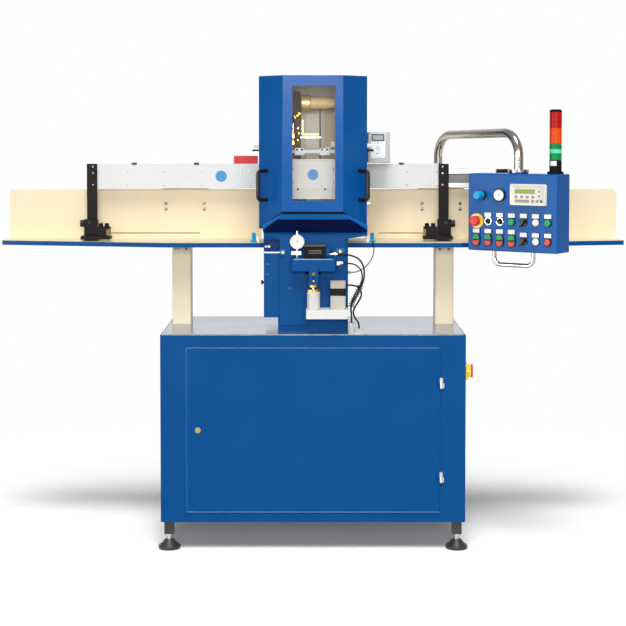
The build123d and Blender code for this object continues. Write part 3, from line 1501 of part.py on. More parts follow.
# Cables: the feed unit's with a hose beside it and the stepper's to two plugs on the cabinet, the
# sensor's into the column
unit_right = unit_left + unit_width
fitting_end = unit_right + cable_fitting_length
plug_top = cabinet_top + feed_plug[2]
stepper_plug_top = cabinet_top + stepper_plug[2]
fitting_y = front_plate_front - unit_depth / 2
fitting_z = unit_bottom + cable_fitting_rise
feed_route = (
    (fitting_end, fitting_y, fitting_z), (148, fitting_y, fitting_z), (198, -280, 1160), (208, -290, 1094),
    (180, -296, 1032), (150, -290, 984), (154, -282, 938), (154, -282, plug_top),
)
stepper_route = (
    (stepper_x + stepper_size / 2, screw_y, 1066), (150, screw_y, 1066), (182, -307, 1060),
    (196, -308, 1030), (180, -307, 998), (160, -302, 968), (162, -296, 938), (184, -290, 914),
    (184, -290, stepper_plug_top),
)
hose_left = slide_right + hose_block_gap
hose_y = front_plate_front - hose_block[1] + hose_setback
hose_end = hose_left + hose_block[0] + hose_fitting_length
hose_route = (
    (hose_end, hose_y, hose_level), (144, hose_y, hose_level), (172, -274, 1144), (192, -277, 1124),
    (198, -279, 1098), (192, -281, 1070), (178, -284, 1044), (164, -284, 1020), (153, -281, 994),
    (150, -276, 966), (154, -270, 938), (154, -270, plug_top),
)
gland_end = column_right + gland_length
sensor_front = sensor_depth - sensor_base[1] / 2
sensor_exit = tray_level + sensor_base[2] / 2
sensor_route = (
    (sensor_offset, sensor_front, sensor_exit), (sensor_offset, -98, sensor_exit), (248, -116, 1212),
    (250, -130, 1188), (240, -146, 1154), (214, -162, 1124), (180, -174, 1104), (gland_end, -174, 1104),
)


def cable(route, radius, label):
    """Tube along a cable's route, each arc as large as its two runs allow."""
    points = [Vector(*point) for point in route]
    radii = []
    for before, corner, after in zip(points, points[1:], points[2:]):
        turn = (corner - before).get_angle(after - corner)
        shorter = min((corner - before).length, (after - corner).length)
        radii.append(0.45 * shorter / tan(radians(turn / 2)))
    tube = tube_along(route, radii, radius)
    length = FilletPolyline(*route, radius=radii).length
    print(label, "radii", [round(r) for r in radii], "length", round(length),
          "volume share", round(tube.volume / (length * pi * radius ** 2), 4))
    return tube


save("feed_cables", cable(feed_route, cable_radius, "feed unit cable"),
     cable(stepper_route, cable_radius, "stepper cable"), cable(hose_route, hose_radius, "hose"),
     cable(sensor_route, sensor_cable_radius, "sensor cable"))

connectors = []
feed_plug_y = (feed_route[-1][1] + hose_route[-1][1]) / 2
plug_places = ((feed_route[-1][0], feed_plug_y, feed_plug), (*stepper_route[-1][:2], stepper_plug))
for x, y, (width, depth, height) in plug_places:
    plug = block(x - width / 2, x + width / 2, y - depth / 2, y + depth / 2, cabinet_top,
                 cabinet_top + height)
    connectors.append(chamfer(plug.edges().filter_by(Axis.Z), plug_chamfer))
width, depth, height = hose_block
hose_mount = block(hose_left, hose_left + width, front_plate_front - depth, front_plate_front,
                   hose_level - height / 2, hose_level + height / 2)
hose_mount += rod((hose_left + width, hose_y, hose_level), "x", hose_fitting_length, cable_fitting_radius)
connectors.append(hose_mount)
connectors.append(rod((unit_right, fitting_y, fitting_z), "x", cable_fitting_length, cable_fitting_radius))
gland_y, gland_z = sensor_route[-1][1:]
connectors.append(rod((column_right, gland_y, gland_z), "x", gland_length, gland_radius))
save("cable_connectors", *connectors)
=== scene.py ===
import json
from math import cos, pi, radians, sin

import bmesh
import bpy
import numpy as np
from mathutils.bvhtree import BVHTree
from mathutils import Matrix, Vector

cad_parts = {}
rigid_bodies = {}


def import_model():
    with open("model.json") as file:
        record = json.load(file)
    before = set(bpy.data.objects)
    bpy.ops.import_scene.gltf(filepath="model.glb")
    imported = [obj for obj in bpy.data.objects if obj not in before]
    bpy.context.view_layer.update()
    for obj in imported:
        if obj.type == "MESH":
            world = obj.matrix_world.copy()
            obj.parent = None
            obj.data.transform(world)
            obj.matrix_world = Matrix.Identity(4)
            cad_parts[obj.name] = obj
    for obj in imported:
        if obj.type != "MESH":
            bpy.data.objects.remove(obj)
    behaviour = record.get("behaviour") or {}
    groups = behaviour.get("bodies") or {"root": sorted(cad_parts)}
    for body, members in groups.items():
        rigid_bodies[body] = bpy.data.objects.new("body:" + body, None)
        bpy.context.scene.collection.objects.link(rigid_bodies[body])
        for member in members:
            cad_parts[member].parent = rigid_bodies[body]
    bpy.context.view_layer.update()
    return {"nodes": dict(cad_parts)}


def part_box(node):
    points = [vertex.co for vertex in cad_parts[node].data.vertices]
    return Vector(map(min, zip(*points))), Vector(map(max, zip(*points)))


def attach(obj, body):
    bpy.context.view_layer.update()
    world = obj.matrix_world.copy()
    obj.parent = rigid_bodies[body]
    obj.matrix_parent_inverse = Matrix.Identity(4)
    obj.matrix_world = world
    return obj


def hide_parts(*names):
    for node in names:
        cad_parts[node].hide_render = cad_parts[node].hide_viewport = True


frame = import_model()
scene = bpy.context.scene
nodes = frame["nodes"]
mm = 0.001
print("frame loaded:", len(nodes), "nodes")


# Camera, at the photo's height and distance
viewpoint = dict(place=(0.0, -6.1306, 1.6607), tilt=2.512, shift=-0.18, sensor=36, focalPixels=1484.6,
    framePixels=626)
cameraData = bpy.data.cameras.new("camera")
cameraData.sensor_width = viewpoint["sensor"]
cameraData.lens = viewpoint["sensor"] * viewpoint["focalPixels"] / viewpoint["framePixels"]
cameraData.shift_y = viewpoint["shift"]
cameraObject = bpy.data.objects.new("camera", cameraData)
cameraObject.location = viewpoint["place"]
cameraObject.rotation_euler = (radians(90 - viewpoint["tilt"]), 0, 0)
scene.collection.objects.link(cameraObject)
scene.camera = cameraObject


def linear(hexColor):
    # sRGB hex to linear RGBA, channel by channel
    parts = np.array([int(hexColor[k:k + 2], 16) for k in (1, 3, 5)]) / 255
    parts = np.where(parts <= 0.04045, parts / 12.92, ((parts + 0.055) / 1.055) ** 2.4)
    return (*[float(part) for part in parts], 1.0)


def addNode(tree, kind, inputs=None, **settings):
    # one node with its settings; an input is a value, a socket, or a node that stands for its first output
    node = tree.nodes.new("ShaderNode" + kind)
    for name, value in settings.items():
        setattr(node, name, value)
    for key, value in (inputs or {}).items():
        if isinstance(value, bpy.types.Node):
            value = value.outputs[0]
        if isinstance(value, bpy.types.NodeSocket):
            tree.links.new(value, node.inputs[key])
        else:
            node.inputs[key].default_value = value
    return node


# Finishes: colour, metallic, roughness, grain in mm with its bump height in mm, how far the colour wanders,
# shine, and the stretch of the grain where drawing or brushing left lines
plain = dict(metallic=0.0, shine=0.5)
powder = dict(plain, rough=0.36, grain=3.2, bump=0.06, wander=0.08)
paint = dict(plain, rough=0.48, grain=3.0, bump=0.05, wander=0.07, shine=0.2)
moulded = dict(plain, rough=0.50, grain=1.4, bump=0.02, wander=0.06)
cap = dict(plain, rough=0.28, grain=2.0, bump=0.01, wander=0.08)
lens = dict(cap, rough=0.30, wander=0.10, shine=0.06)
finishes = {
    # powder-coated sheet steel: even satin colour with a fine orange peel that breaks up reflections
    "powderCoatBlue": dict(powder, hex="#0b4f8e", shine=0.05),
    "powderCoatHammer": dict(powder, hex="#0b58a2", rough=0.18, grain=7, bump=0.03, wander=0.13, shine=0.13),
    "powderCoatPendant": dict(powder, hex="#0f5ba5", rough=0.24, grain=7, bump=0.03, wander=0.10, shine=0.05),
    # a lighter copy of the same blue: painted highlight, on the hood's lip and the column's ears
    "powderCoatHighlightBlue": dict(powder, hex="#1267b0", shine=0.1),
    # darker copies of the same blue: painted shade, in the column's recess under the head and on the funnel
    # under the hood
    "powderCoatShadeBlue": dict(powder, hex="#062f66", rough=0.48, bump=0.10, wander=0.10, shine=0.08),
    "powderCoatShadeNavy": dict(powder, hex="#021040", rough=0.50, bump=0.08, wander=0.12, shine=0.03),
    "powderCoatCream": dict(powder, hex="#f2e2c1", rough=0.45, bump=0.08, wander=0.05, shine=0.2),
    # the same paint a shade lighter, as a painted highlight, on a rounded edge that also shines under the
    # lamps
    "powderCoatEdgeHighlight": dict(powder, hex="#14599c", rough=0.24, bump=0.02, wander=0.06),
    # duller coats on covers, castings and guards: flat even colour with little shine
    "powderCoatWhite": dict(paint, hex="#e2e3e2", rough=0.42, bump=0.06, wander=0.04),
    "powderCoatGrey": dict(paint, hex="#c9b8a2", bump=0.06),
    "castGrey": dict(paint, hex="#bfb6aa"),
    "wayGrey": dict(paint, hex="#dcd3c6"),
    "castBeige": dict(paint, hex="#f4d098", rough=0.45, wander=0.06, shine=0.3),
    "guardWhite": dict(paint, hex="#e4e1db", rough=0.50, bump=0.04, wander=0.04, shine=0.1),
    "apronGrey": dict(paint, hex="#dad8d2", rough=0.50, wander=0.05, shine=0.3),
    "paintRed": dict(paint, hex="#d8262b", rough=0.38, bump=0.04, wander=0.05, shine=0.5),
    # oiled cast iron, brown in the shade of the hood
    "ironBrown": dict(paint, hex="#776658", rough=0.50, grain=4.0, wander=0.30),
    # bead-blasted and black-anodised aluminium: near black, dull, slightly warm where handled
    "anodisedBlack": dict(hex="#1d1b1c", metallic=0.3, rough=0.46, grain=1.6, bump=0.03, wander=0.25,
        shine=0.07),
    # clear-anodised extrusion: pale satin metal with faint drawing lines
    "anodisedClear": dict(plain, hex="#c8cacc", metallic=0.55, rough=0.42, grain=1.6, bump=0.02, wander=0.06,
        draw=(1, 24, 24)),
    # bare steel of the guide behind the axis' groove: a darker drawn grey
    "guideSteel": dict(plain, hex="#625e5c", metallic=0.5, rough=0.40, grain=1.6, bump=0.02, wander=0.10,
        draw=(1, 24, 24)),
    # zinc die casting, tumbled: bright grey with a soft mottle
    "zincCasting": dict(plain, hex="#cbcac6", metallic=0.85, rough=0.34, grain=4.0, bump=0.03, wander=0.10),
    # ground tool steel: fine crossing scratches, mid grey
    "steelGround": dict(plain, hex="#b6b4b0", metallic=0.95, rough=0.30, grain=2.0, bump=0.015, wander=0.10,
        draw=(1, 18, 18)),
    # drawn stainless tube, polished: long soft streaks
    "stainlessTube": dict(plain, hex="#c4bdb3", metallic=1.0, rough=0.17, grain=6.0, bump=0.008, wander=0.07),
    # brushed stainless sheet: streaks along the machine's width
    "stainlessSheet": dict(plain, hex="#98a1ae", metallic=0.75, rough=0.20, grain=3.0, bump=0.012,
        wander=0.05, draw=(1, 30, 1)),
    # polished bolt heads: dark where they mirror the room behind the camera
    "steelPolished": dict(plain, hex="#8d8780", metallic=1.0, rough=0.20, grain=2.0, bump=0.01, wander=0.10),
    # chrome-plated rings: a bright mirror, hardly blurred
    "chromePlate": dict(plain, hex="#ececec", metallic=1.0, rough=0.14, grain=2.0, bump=0.0, wander=0.03),
    # worn bronze cylinder of the lock: dull gold in patches
    "bronzeLight": dict(plain, hex="#b3a177", metallic=0.6, rough=0.36, grain=2.4, bump=0.02, wander=0.25),
    # pale blue painted highlight along a sharp edge
    "paintedEdgeHighlight": dict(powder, hex="#7ba6d4", rough=0.35, bump=0.02, wander=0.10, shine=0.4),
    # black painted iron with worn edges
    "castBlack": dict(plain, hex="#343233", rough=0.42, grain=2.0, bump=0.04, wander=0.20, shine=0.4),
    # oiled bronze, nearly brown
    "bronzeDark": dict(plain, hex="#6b5636", metallic=0.9, rough=0.36, grain=2.4, bump=0.02, wander=0.20),
    # polished brass that shows its own colour more than the room
    "brassSatin": dict(plain, hex="#f2d28a", metallic=0.35, rough=0.36, grain=3.0, bump=0.02, wander=0.12),
    # turned brass, a little tarnished
    "brassTurned": dict(plain, hex="#e2b057", metallic=0.9, rough=0.28, grain=3.0, bump=0.02, wander=0.16),
    # moulded thermoplastics: spark-eroded grain, duller than the gloss caps
    "mouldedBlack": dict(moulded, hex="#161517", rough=0.36, wander=0.15, shine=0.25),
    "mouldedGrey": dict(moulded, hex="#b9bbbb", rough=0.48, bump=0.03, wander=0.05),
    "mouldedCream": dict(moulded, hex="#f0eada", rough=0.45, wander=0.04),
    "keyGrey": dict(moulded, hex="#c6c2b4"),
    "keyDim": dict(moulded, hex="#a8a496", shine=0.1),
    # caps of buttons and knobs: smooth and bright
    "capYellow": dict(cap, hex="#f6d238", rough=0.30, wander=0.06),
    "capScarlet": dict(cap, hex="#e5382c", rough=0.26, shine=0.12),
    "capRed": dict(cap, hex="#cc1a17", rough=0.26, shine=0.2),
    "capGreen": dict(cap, hex="#0ea068", shine=0.08),
    "capWhite": dict(cap, hex="#eff0ee", rough=0.30, wander=0.04),
    "capCyan": dict(cap, hex="#0ca4d6", rough=0.30, shine=0.12),
    # faded push-button red
    "capCoral": dict(cap, hex="#e24c40", shine=0.1),
    # lenses of the signal tower: deep colour, hardly any shine
    "lensRed": dict(lens, hex="#be1a14"),
    "lensOrange": dict(lens, hex="#e9530f"),
    "lensGreen": dict(lens, hex="#0a8a4a"),
    # band of the green lens painted lighter: a painted highlight
    "lensGreenHighlight": dict(cap, hex="#63e2ae", shine=0.2),
    # engraved laminate for the plain label plates: clean half-matt white
    "labelWhite": dict(cap, hex="#f3f2ee", rough=0.40, wander=0.04),
    # printed vinyl sticker: flat pale blue
    "vinylBlue": dict(cap, hex="#4f98cf", rough=0.35, bump=0.005, wander=0.05, shine=0.1),
    # liquid-crystal display behind its window
    "displayGreen": dict(plain, hex="#86a23c", rough=0.16, grain=5.0, bump=0.0, wander=0.08, shine=0.1),
    "displayDark": dict(plain, hex="#4a4b50", rough=0.20, grain=5.0, bump=0.0, wander=0.10),
    "displayPale": dict(plain, hex="#a4a8ad", rough=0.20, grain=4.0, bump=0.0, wander=0.25),
    # vulcanised rubber and PVC: matt, slightly dusty
    "rubberBlack": dict(plain, hex="#161617", rough=0.70, grain=2.0, bump=0.04, wander=0.20, shine=0.08),
    "cablePvc": dict(plain, hex="#121214", rough=0.45, grain=3.0, bump=0.02, wander=0.15, shine=0.2),
    # vitrified corundum: open grit, pale grey-brown
    "corundumGrit": dict(plain, hex="#9c968c", rough=0.85, grain=2.2, bump=0.35, wander=0.35),
    # rubber-bonded regulating wheel: dark brown, matt, fine-grained
    "rubberBond": dict(plain, hex="#3a2f2a", rough=0.80, grain=1.8, bump=0.15, wander=0.25),
}


def emptyTree(owner):
    # cleared node tree of a material or a world
    owner.use_nodes = True
    owner.node_tree.nodes.clear()
    return owner.node_tree


def finishMaterial(name, base, zones=()):
    # one shader; zones are boxes in the frame, each with its own finish, laid over the base in turn
    look = finishes[base]
    material = bpy.data.materials.new(name)
    tree = emptyTree(material)
    place = addNode(tree, "TexCoord").outputs["Object"]
    grainPlace = place
    if "draw" in look:
        grainPlace = addNode(tree, "Mapping", {"Vector": place, "Scale": look["draw"]})
    grain = addNode(tree, "TexNoise", {"Vector": grainPlace, "Scale": 1 / (look["grain"] * mm),
        "Detail": 3.0})
    # slow clouds of about 180 mm keep large sheets from looking printed
    cloud = addNode(tree, "TexNoise", {"Vector": place, "Scale": 1 / 0.18, "Detail": 2.0})
    mixed = addNode(tree, "Math", {0: grain, 1: cloud}, operation="ADD")  # mostly 0.6 to 1.4
    shade = addNode(tree, "MapRange", {"Value": mixed, "From Min": 0.6, "From Max": 1.4,
        "To Min": 1 - look["wander"], "To Max": 1 + look["wander"]})
    colour = linear(look["hex"])
    surface = (look["metallic"], look["rough"], 0.0, 1.0)  # metallic and roughness mix as red and green
    for low, high, zone in zones:
        part = finishes[zone]
        middle = tuple((a + b) / 2 for a, b in zip(low, high))
        half = tuple((b - a) / 2 for a, b in zip(low, high))
        away = addNode(tree, "VectorMath", {0: place, 1: middle}, operation="SUBTRACT")
        size = addNode(tree, "VectorMath", {0: away}, operation="ABSOLUTE")
        inside = addNode(tree, "VectorMath", {0: half, 1: size}, operation="SUBTRACT")
        axes = addNode(tree, "SeparateXYZ", {0: inside}).outputs
        least = addNode(tree, "Math", {0: axes[0], 1: axes[1]}, operation="MINIMUM")
        least = addNode(tree, "Math", {0: least, 1: axes[2]}, operation="MINIMUM")
        mask = addNode(tree, "Math", {0: least, 1: 0.0}, operation="GREATER_THAN")
        colour = addNode(tree, "Mix", {0: mask, 6: colour, 7: linear(part["hex"])},
            data_type="RGBA").outputs[2]
        zoneSurface = (part["metallic"], part["rough"], 0.0, 1.0)
        surface = addNode(tree, "Mix", {0: mask, 6: surface, 7: zoneSurface}, data_type="RGBA").outputs[2]
    tinted = addNode(tree, "VectorMath", {0: colour if zones else colour[:3], "Scale": shade},
        operation="SCALE")
    settings = {"Base Color": tinted, "Metallic": look["metallic"], "Specular IOR Level": look["shine"]}
    rough = look["rough"]
    if zones:
        parts = addNode(tree, "SeparateColor", {0: surface}).outputs
        settings["Metallic"] = parts[0]
        rough = parts[1]
    # patches about a tenth smoother or rougher
    worn = addNode(tree, "MapRange", {"Value": cloud, "From Min": 0.3, "From Max": 0.7, "To Min": 0.9,
        "To Max": 1.12})
    settings["Roughness"] = addNode(tree, "Math", {0: rough, 1: worn}, operation="MULTIPLY")
    if look["bump"]:
        settings["Normal"] = addNode(tree, "Bump", {"Height": grain, "Strength": 1.0,
            "Distance": look["bump"] * mm})
    addNode(tree, "OutputMaterial", {0: addNode(tree, "BsdfPrincipled", settings)})
    return material


def windowMaterial():
    # clear polycarbonate sheet: see-through with a faint warm tint and a soft shine
    material = bpy.data.materials.new("polycarbonateClear")
    tree = emptyTree(material)
    place = addNode(tree, "TexCoord").outputs["Object"]
    smear = addNode(tree, "TexNoise", {"Vector": place, "Scale": 1 / 0.06, "Detail": 3.0})
    rough = addNode(tree, "MapRange", {"Value": smear, "To Min": 0.04, "To Max": 0.12})
    gloss = addNode(tree, "BsdfGlossy", {"Roughness": rough})
    clear = addNode(tree, "BsdfTransparent", {"Color": linear("#fcfcfb")})
    edge = addNode(tree, "Fresnel", {"IOR": 1.45})
    less = addNode(tree, "Math", {0: edge, 1: 0.5}, operation="MULTIPLY")
    both = addNode(tree, "MixShader", {0: less, 1: clear, 2: gloss})
    addNode(tree, "OutputMaterial", {0: both})
    return material


madeMaterials = {}


def finishOf(name):
    # plain material of a finish, made once
    if name not in madeMaterials:
        madeMaterials[name] = finishMaterial(name, name)
    return madeMaterials[name]


def dress(nodeName, material):
    # give a carried-over node its finish
    slots = nodes[nodeName].data.materials
    slots.clear()
    slots.append(material)


# Cables on the front of the machine: the routes' points in metres
cables = {
    "feedCable": dict(diameter=0.007, length=0.364, points=(
        (0.098, -0.218, 1.186), (0.148, -0.218, 1.186), (0.198, -0.226, 1.160), (0.208, -0.236, 1.094),
        (0.180, -0.242, 1.032), (0.150, -0.236, 0.984), (0.154, -0.228, 0.938), (0.154, -0.228, 0.912))),
    "stepperCable": dict(diameter=0.007, length=0.239, points=(
        (0.129, -0.2525, 1.066), (0.150, -0.2525, 1.066), (0.182, -0.253, 1.060), (0.196, -0.254, 1.030),
        (0.180, -0.253, 0.998), (0.160, -0.248, 0.968), (0.162, -0.242, 0.938), (0.184, -0.236, 0.914),
        (0.184, -0.236, 0.890))),
    "slideHose": dict(diameter=0.006, length=0.304, points=(
        (0.119, -0.218, 1.150), (0.144, -0.218, 1.150), (0.172, -0.220, 1.144), (0.192, -0.223, 1.124),
        (0.198, -0.225, 1.098), (0.192, -0.227, 1.070), (0.178, -0.230, 1.044), (0.164, -0.230, 1.020),
        (0.153, -0.227, 0.994), (0.150, -0.222, 0.966), (0.154, -0.216, 0.938), (0.154, -0.216, 0.912))),
    "sensorCable": dict(diameter=0.004, length=0.219, points=(
        (0.245, -0.021, 1.222), (0.245, -0.044, 1.222), (0.248, -0.062, 1.212), (0.250, -0.076, 1.188),
        (0.240, -0.092, 1.154), (0.214, -0.108, 1.124), (0.180, -0.120, 1.104), (0.153, -0.120, 1.104))),
}


def cableCurve(name, points, diameter):
    # smooth line with the route's points as its control points
    curve = bpy.data.curves.new(name, "CURVE")
    curve.dimensions = "3D"
    curve.bevel_depth = diameter / 2
    curve.bevel_resolution = 4
    curve.resolution_u = 8
    curve.use_fill_caps = True
    spline = curve.splines.new("NURBS")
    spline.points.add(len(points) - 1)
    spline.points.foreach_set("co", np.append(np.array(points), np.ones((len(points), 1)), axis=1).ravel())
    spline.order_u = 3
    spline.use_endpoint_u = True
    cable = bpy.data.objects.new(name, curve)
    scene.collection.objects.link(cable)
    return cable


def cableLine(name, points):
    # points along the same smooth line, read from the curve without its thickness
    guide = cableCurve(name, points, 0.0)
    mesh = bpy.data.meshes.new_from_object(guide)
    line = np.empty(len(mesh.vertices) * 3)
    mesh.vertices.foreach_get("co", line)
    bpy.data.meshes.remove(mesh)
    bpy.data.objects.remove(guide)
    return line.reshape(-1, 3)


# Faces that pieces sit on: directions sideways, upwards and outwards
swing = radians(34.5)
pendantMiddle = np.array((820.0, -211.0, 0.0))
sides = {
    "front": np.array(((1, 0, 0), (0, 0, 1), (0, -1, 0)), float),
    "top": np.array(((1, 0, 0), (0, 1, 0), (0, 0, 1)), float),
    "right": np.array(((0, 1, 0), (0, 0, 1), (1, 0, 0)), float),
    "left": np.array(((0, -1, 0), (0, 0, 1), (-1, 0, 0)), float),
    "back": np.array(((-1, 0, 0), (0, 0, 1), (0, 1, 0)), float),
    "pendant": np.array(((cos(swing), -sin(swing), 0), (0, 0, 1), (-sin(swing), -cos(swing), 0))),
}


def unit(rows):
    # rows of vectors brought to length one
    return rows / np.linalg.norm(rows, axis=1, keepdims=True)


def turned(profile, side, center, count=32):
    # turned shape: P(u, v) = centre + r(v)(cos u, sin u) + h(v) outwards, for profile rows (r, h) in mm
    rows = np.array(profile, float)
    angle = np.linspace(0, 2 * pi, count, endpoint=False)
    local = np.stack([rows[:, :1] * np.cos(angle), rows[:, :1] * np.sin(angle), rows[:, 1:] + 0 * angle],
        axis=-1)
    return (np.array(center) + local @ sides[side]) * mm


def slab(size, profile, side, center, corner=2.0, steps=5):
    # rounded rectangle, drawn in and lifted: P(u, v) = centre + outline(u) less inset(v) + lift(v) outwards;
    # the two ends close on the middle
    half = np.array(size, float) / 2
    rows = np.array(profile, float)
    inset, lift = rows[:, :1], rows[:, 1:]
    quarter = np.arange(4).repeat(steps + 1)
    angle = np.tile(np.linspace(0, pi / 2, steps + 1), 4) + quarter * pi / 2
    signs = np.array(((1, 1), (-1, 1), (-1, -1), (1, -1)))[quarter]
    bend = np.maximum(corner - inset, 0.02)
    across = signs[:, 0] * (half[0] - inset - bend) + bend * np.cos(angle)
    along = signs[:, 1] * (half[1] - inset - bend) + bend * np.sin(angle)
    local = np.stack([across, along, lift + 0 * angle], axis=-1)
    ends = local[[0, -1]] * np.array((0, 0, 1))
    local = np.concatenate([ends[:1], local, ends[1:]])
    return (np.array(center) + local @ sides[side]) * mm


def carried(path, radius, count=12, guide=(0, 1, 0)):
    # round profile carried along a path: P(u, v) = path(u) + r (cos v N + sin v B); ends close on the path
    line = np.array(path, float)
    tangent = unit(np.gradient(line, axis=0))
    first = unit(np.cross(tangent, np.array(guide, float)))
    second = np.cross(tangent, first)
    angle = np.linspace(0, 2 * pi, count, endpoint=False)[:, None]
    ring = line[:, None] + radius * (np.cos(angle) * first[:, None] + np.sin(angle) * second[:, None])
    ends = np.repeat(line[[0, -1], None], count, axis=1)
    return np.concatenate([ends[:1], ring, ends[1:]]) * mm


def capped(grid):
    # grid whose first and last rows close on their middles
    ends = np.repeat(grid[[0, -1]].mean(axis=1, keepdims=True), grid.shape[1], axis=1)
    return np.concatenate([ends[:1], grid, ends[1:]])


def boltHead(radius, height, side, center):
    # socket screw: chamfered rim, flat top and a sunk socket
    hole = radius * 0.45
    rows = ((0, 0), (radius, 0), (radius, height * 0.8), (radius * 0.88, height), (hole, height),
        (hole * 0.95, height * 0.45), (0, height * 0.4))
    return turned(rows, side, center, 24)


def domeHead(radius, height, side, center):
    # domed screw: quarter of an ellipse turned about its axis
    turn = np.linspace(0, pi / 2, 6)
    rows = np.concatenate([[(0, 0)], np.stack([radius * np.cos(turn), height * np.sin(turn)], axis=-1)])
    return turned(rows, side, center, 20)


def disc(radius, height, side, center, edge=0.4, count=40):
    # flat disc with a small chamfer
    rows = ((0, 0), (radius, 0), (radius, height - edge), (radius - edge, height), (0, height))
    return turned(rows, side, center, count)


def tile(size, height, side, center, corner=2.0, edge=0.5):
    # flat plate with rounded corners and a small chamfer
    return slab(size, ((0, 0), (0, height - edge), (edge, height)), side, center, corner)


def ringOf(outer, inner, height, side, center, edge=0.8, count=40):
    # flat ring: the profile goes out, up, in and down again to where it began
    rows = ((inner, 0), (outer, 0), (outer, height - edge), (outer - edge, height), (inner + edge, height),
        (inner, height - edge), (inner, 0))
    return turned(rows, side, center, count)


def openFrame(size, hole, height, side, center, corner):
    # rectangular frame: the rounded outline goes out, up, in to the hole and down again to where it began
    inset = (size[0] - hole[0]) / 2
    rows = ((inset, 0), (0, 0), (0, height - 0.8), (0.8, height), (inset - 0.6, height),
        (inset, height - 0.6), (inset, 0))
    return slab(size, rows, side, center, corner)[1:-1]


def scaleMarks(count, inner, outer, width, sweep, side, center):
    # marks of a dial: thin tiles turned round the centre, all worked out as one array
    angle = np.radians(np.linspace(*sweep, count))[:, None]
    corners = np.array(((inner, -1), (outer, -1), (outer, 1), (inner, 1)), float) * (1, width / 2)
    x = corners[:, 0] * np.sin(angle) + corners[:, 1] * np.cos(angle)
    y = corners[:, 0] * np.cos(angle) - corners[:, 1] * np.sin(angle)
    local = np.stack([x, y, 0 * x], axis=-1)
    lifted = local + np.array((0, 0, 0.15))
    middle = local.mean(axis=1, keepdims=True) + 0 * local
    top = lifted.mean(axis=1, keepdims=True) + 0 * local
    grids = np.stack([middle, local, lifted, top], axis=1)
    return list((np.array(center) + grids @ sides[side]) * mm)


def needle(length, tail, width, turn, side, center):
    # pointer: a long thin kite with its hub at the centre
    angle = radians(turn)
    kite = np.array(((0, length), (width / 2, 0), (0, -tail), (-width / 2, 0)), float)
    x = kite[:, 0] * cos(angle) + kite[:, 1] * sin(angle)
    y = kite[:, 1] * cos(angle) - kite[:, 0] * sin(angle)
    flat = np.stack([x, y, 0 * x], axis=-1)
    local = np.stack([0 * flat, flat, flat + (0, 0, 0.4), 0 * flat + (0, 0, 0.4)])
    return (np.array(center) + local @ sides[side]) * mm


def each(shape, places, side="front", **sizes):
    # the same shape at every place, sizes and places in mm
    return [shape(side=side, center=place, **sizes) for place in places]


def makePiece(name, grids, finish, body="machine", stands=()):
    # grids of points are closed round their columns, and equal points merge into seams and poles
    spots = np.concatenate([grid.reshape(-1, 3) for grid in grids])
    faces = []
    start = 0
    for grid in grids:
        rows, columns = grid.shape[:2]
        index = np.arange(rows * columns).reshape(rows, columns) + start
        ahead = np.roll(index, -1, axis=1)
        faces.append(np.stack([index[:-1], ahead[:-1], ahead[1:], index[1:]], axis=-1).reshape(-1, 4))
        start += rows * columns
    mesh = bpy.data.meshes.new(name)
    mesh.from_pydata(spots, [], np.concatenate(faces).tolist())
    shape = bmesh.new()
    shape.from_mesh(mesh)
    bmesh.ops.remove_doubles(shape, verts=shape.verts, dist=1e-6)
    bmesh.ops.recalc_face_normals(shape, faces=shape.faces)
    shape.to_mesh(mesh)
    shape.free()
    mesh.polygons.foreach_set("use_smooth", np.ones(len(mesh.polygons), bool))
    mesh.set_sharp_from_angle(angle=radians(35))
    mesh.materials.append(finishOf(finish))
    piece = bpy.data.objects.new(name, mesh)
    scene.collection.objects.link(piece)
    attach(piece, body)
    if stands:
        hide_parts(*stands)
    return piece


print("finishes and shapes ready")


# Pendant fittings, one piece for each finish; controls stand in seven columns and two rows
pendantLook = dict(face=55, pitch=52.5, columns=7, rows=(1317, 1242), labelRise=26, doubleRise=35.5,
    holder=5.6, stop=(0, 0), ringed=((1, 0), (2, 0)), lamps=((5, 0), (5, 1)), doubles=(0, 1, 2, 3),
    bezels=((3, 0), (6, 0), (6, 1), (4, 0), (4, 1), (5, 0), (5, 1)), regulator=(-134, 1421))
bezelSize = dict(outer=15.5, inner=13, height=5)
pendantFace = pendantMiddle + pendantLook["face"] * sides["pendant"][2]


def onPendant(x, z, lift=0.0):
    # place on the pendant's face, in mm
    across, upward, outward = sides["pendant"]
    return pendantFace + x * across + z * upward + lift * outward


def control(column, row, rise=0.0, lift=0.0):
    # place of a control, counted from the middle column
    away = column - pendantLook["columns"] // 2
    return onPendant(away * pendantLook["pitch"], pendantLook["rows"][row] + rise, lift)


def pendantPiece(name, grids, finish):
    # piece that stands for a part of the pendant's fittings
    makePiece(name, grids, finish, "pendant", stands=("pendant_fittings",))


pendantPiece("controlBezels", each(ringOf, [control(*spot) for spot in pendantLook["bezels"]], "pendant",
    **bezelSize), "mouldedBlack")
pendantPiece("controlRings", each(ringOf, [control(*spot) for spot in pendantLook["ringed"]], "pendant",
    **bezelSize), "chromePlate")
labelSpots = []
for row in (0, 1):
    for column in range(pendantLook["columns"]):
        rise = "doubleRise" if row and column in pendantLook["doubles"] else "labelRise"
        if (column, row) != pendantLook["stop"]:
            labelSpots.append((column, row, pendantLook[rise]))
pendantPiece("labelHolders", each(tile, [control(*spot) for spot in labelSpots], "pendant", size=(31, 18),
    height=pendantLook["holder"], corner=1.5), "mouldedBlack")
pendantPiece("labelPlates", each(tile, [control(*spot, pendantLook["holder"]) for spot in labelSpots],
    "pendant", size=(29.5, 16.5), height=0.4, corner=1, edge=0.1), "labelWhite")
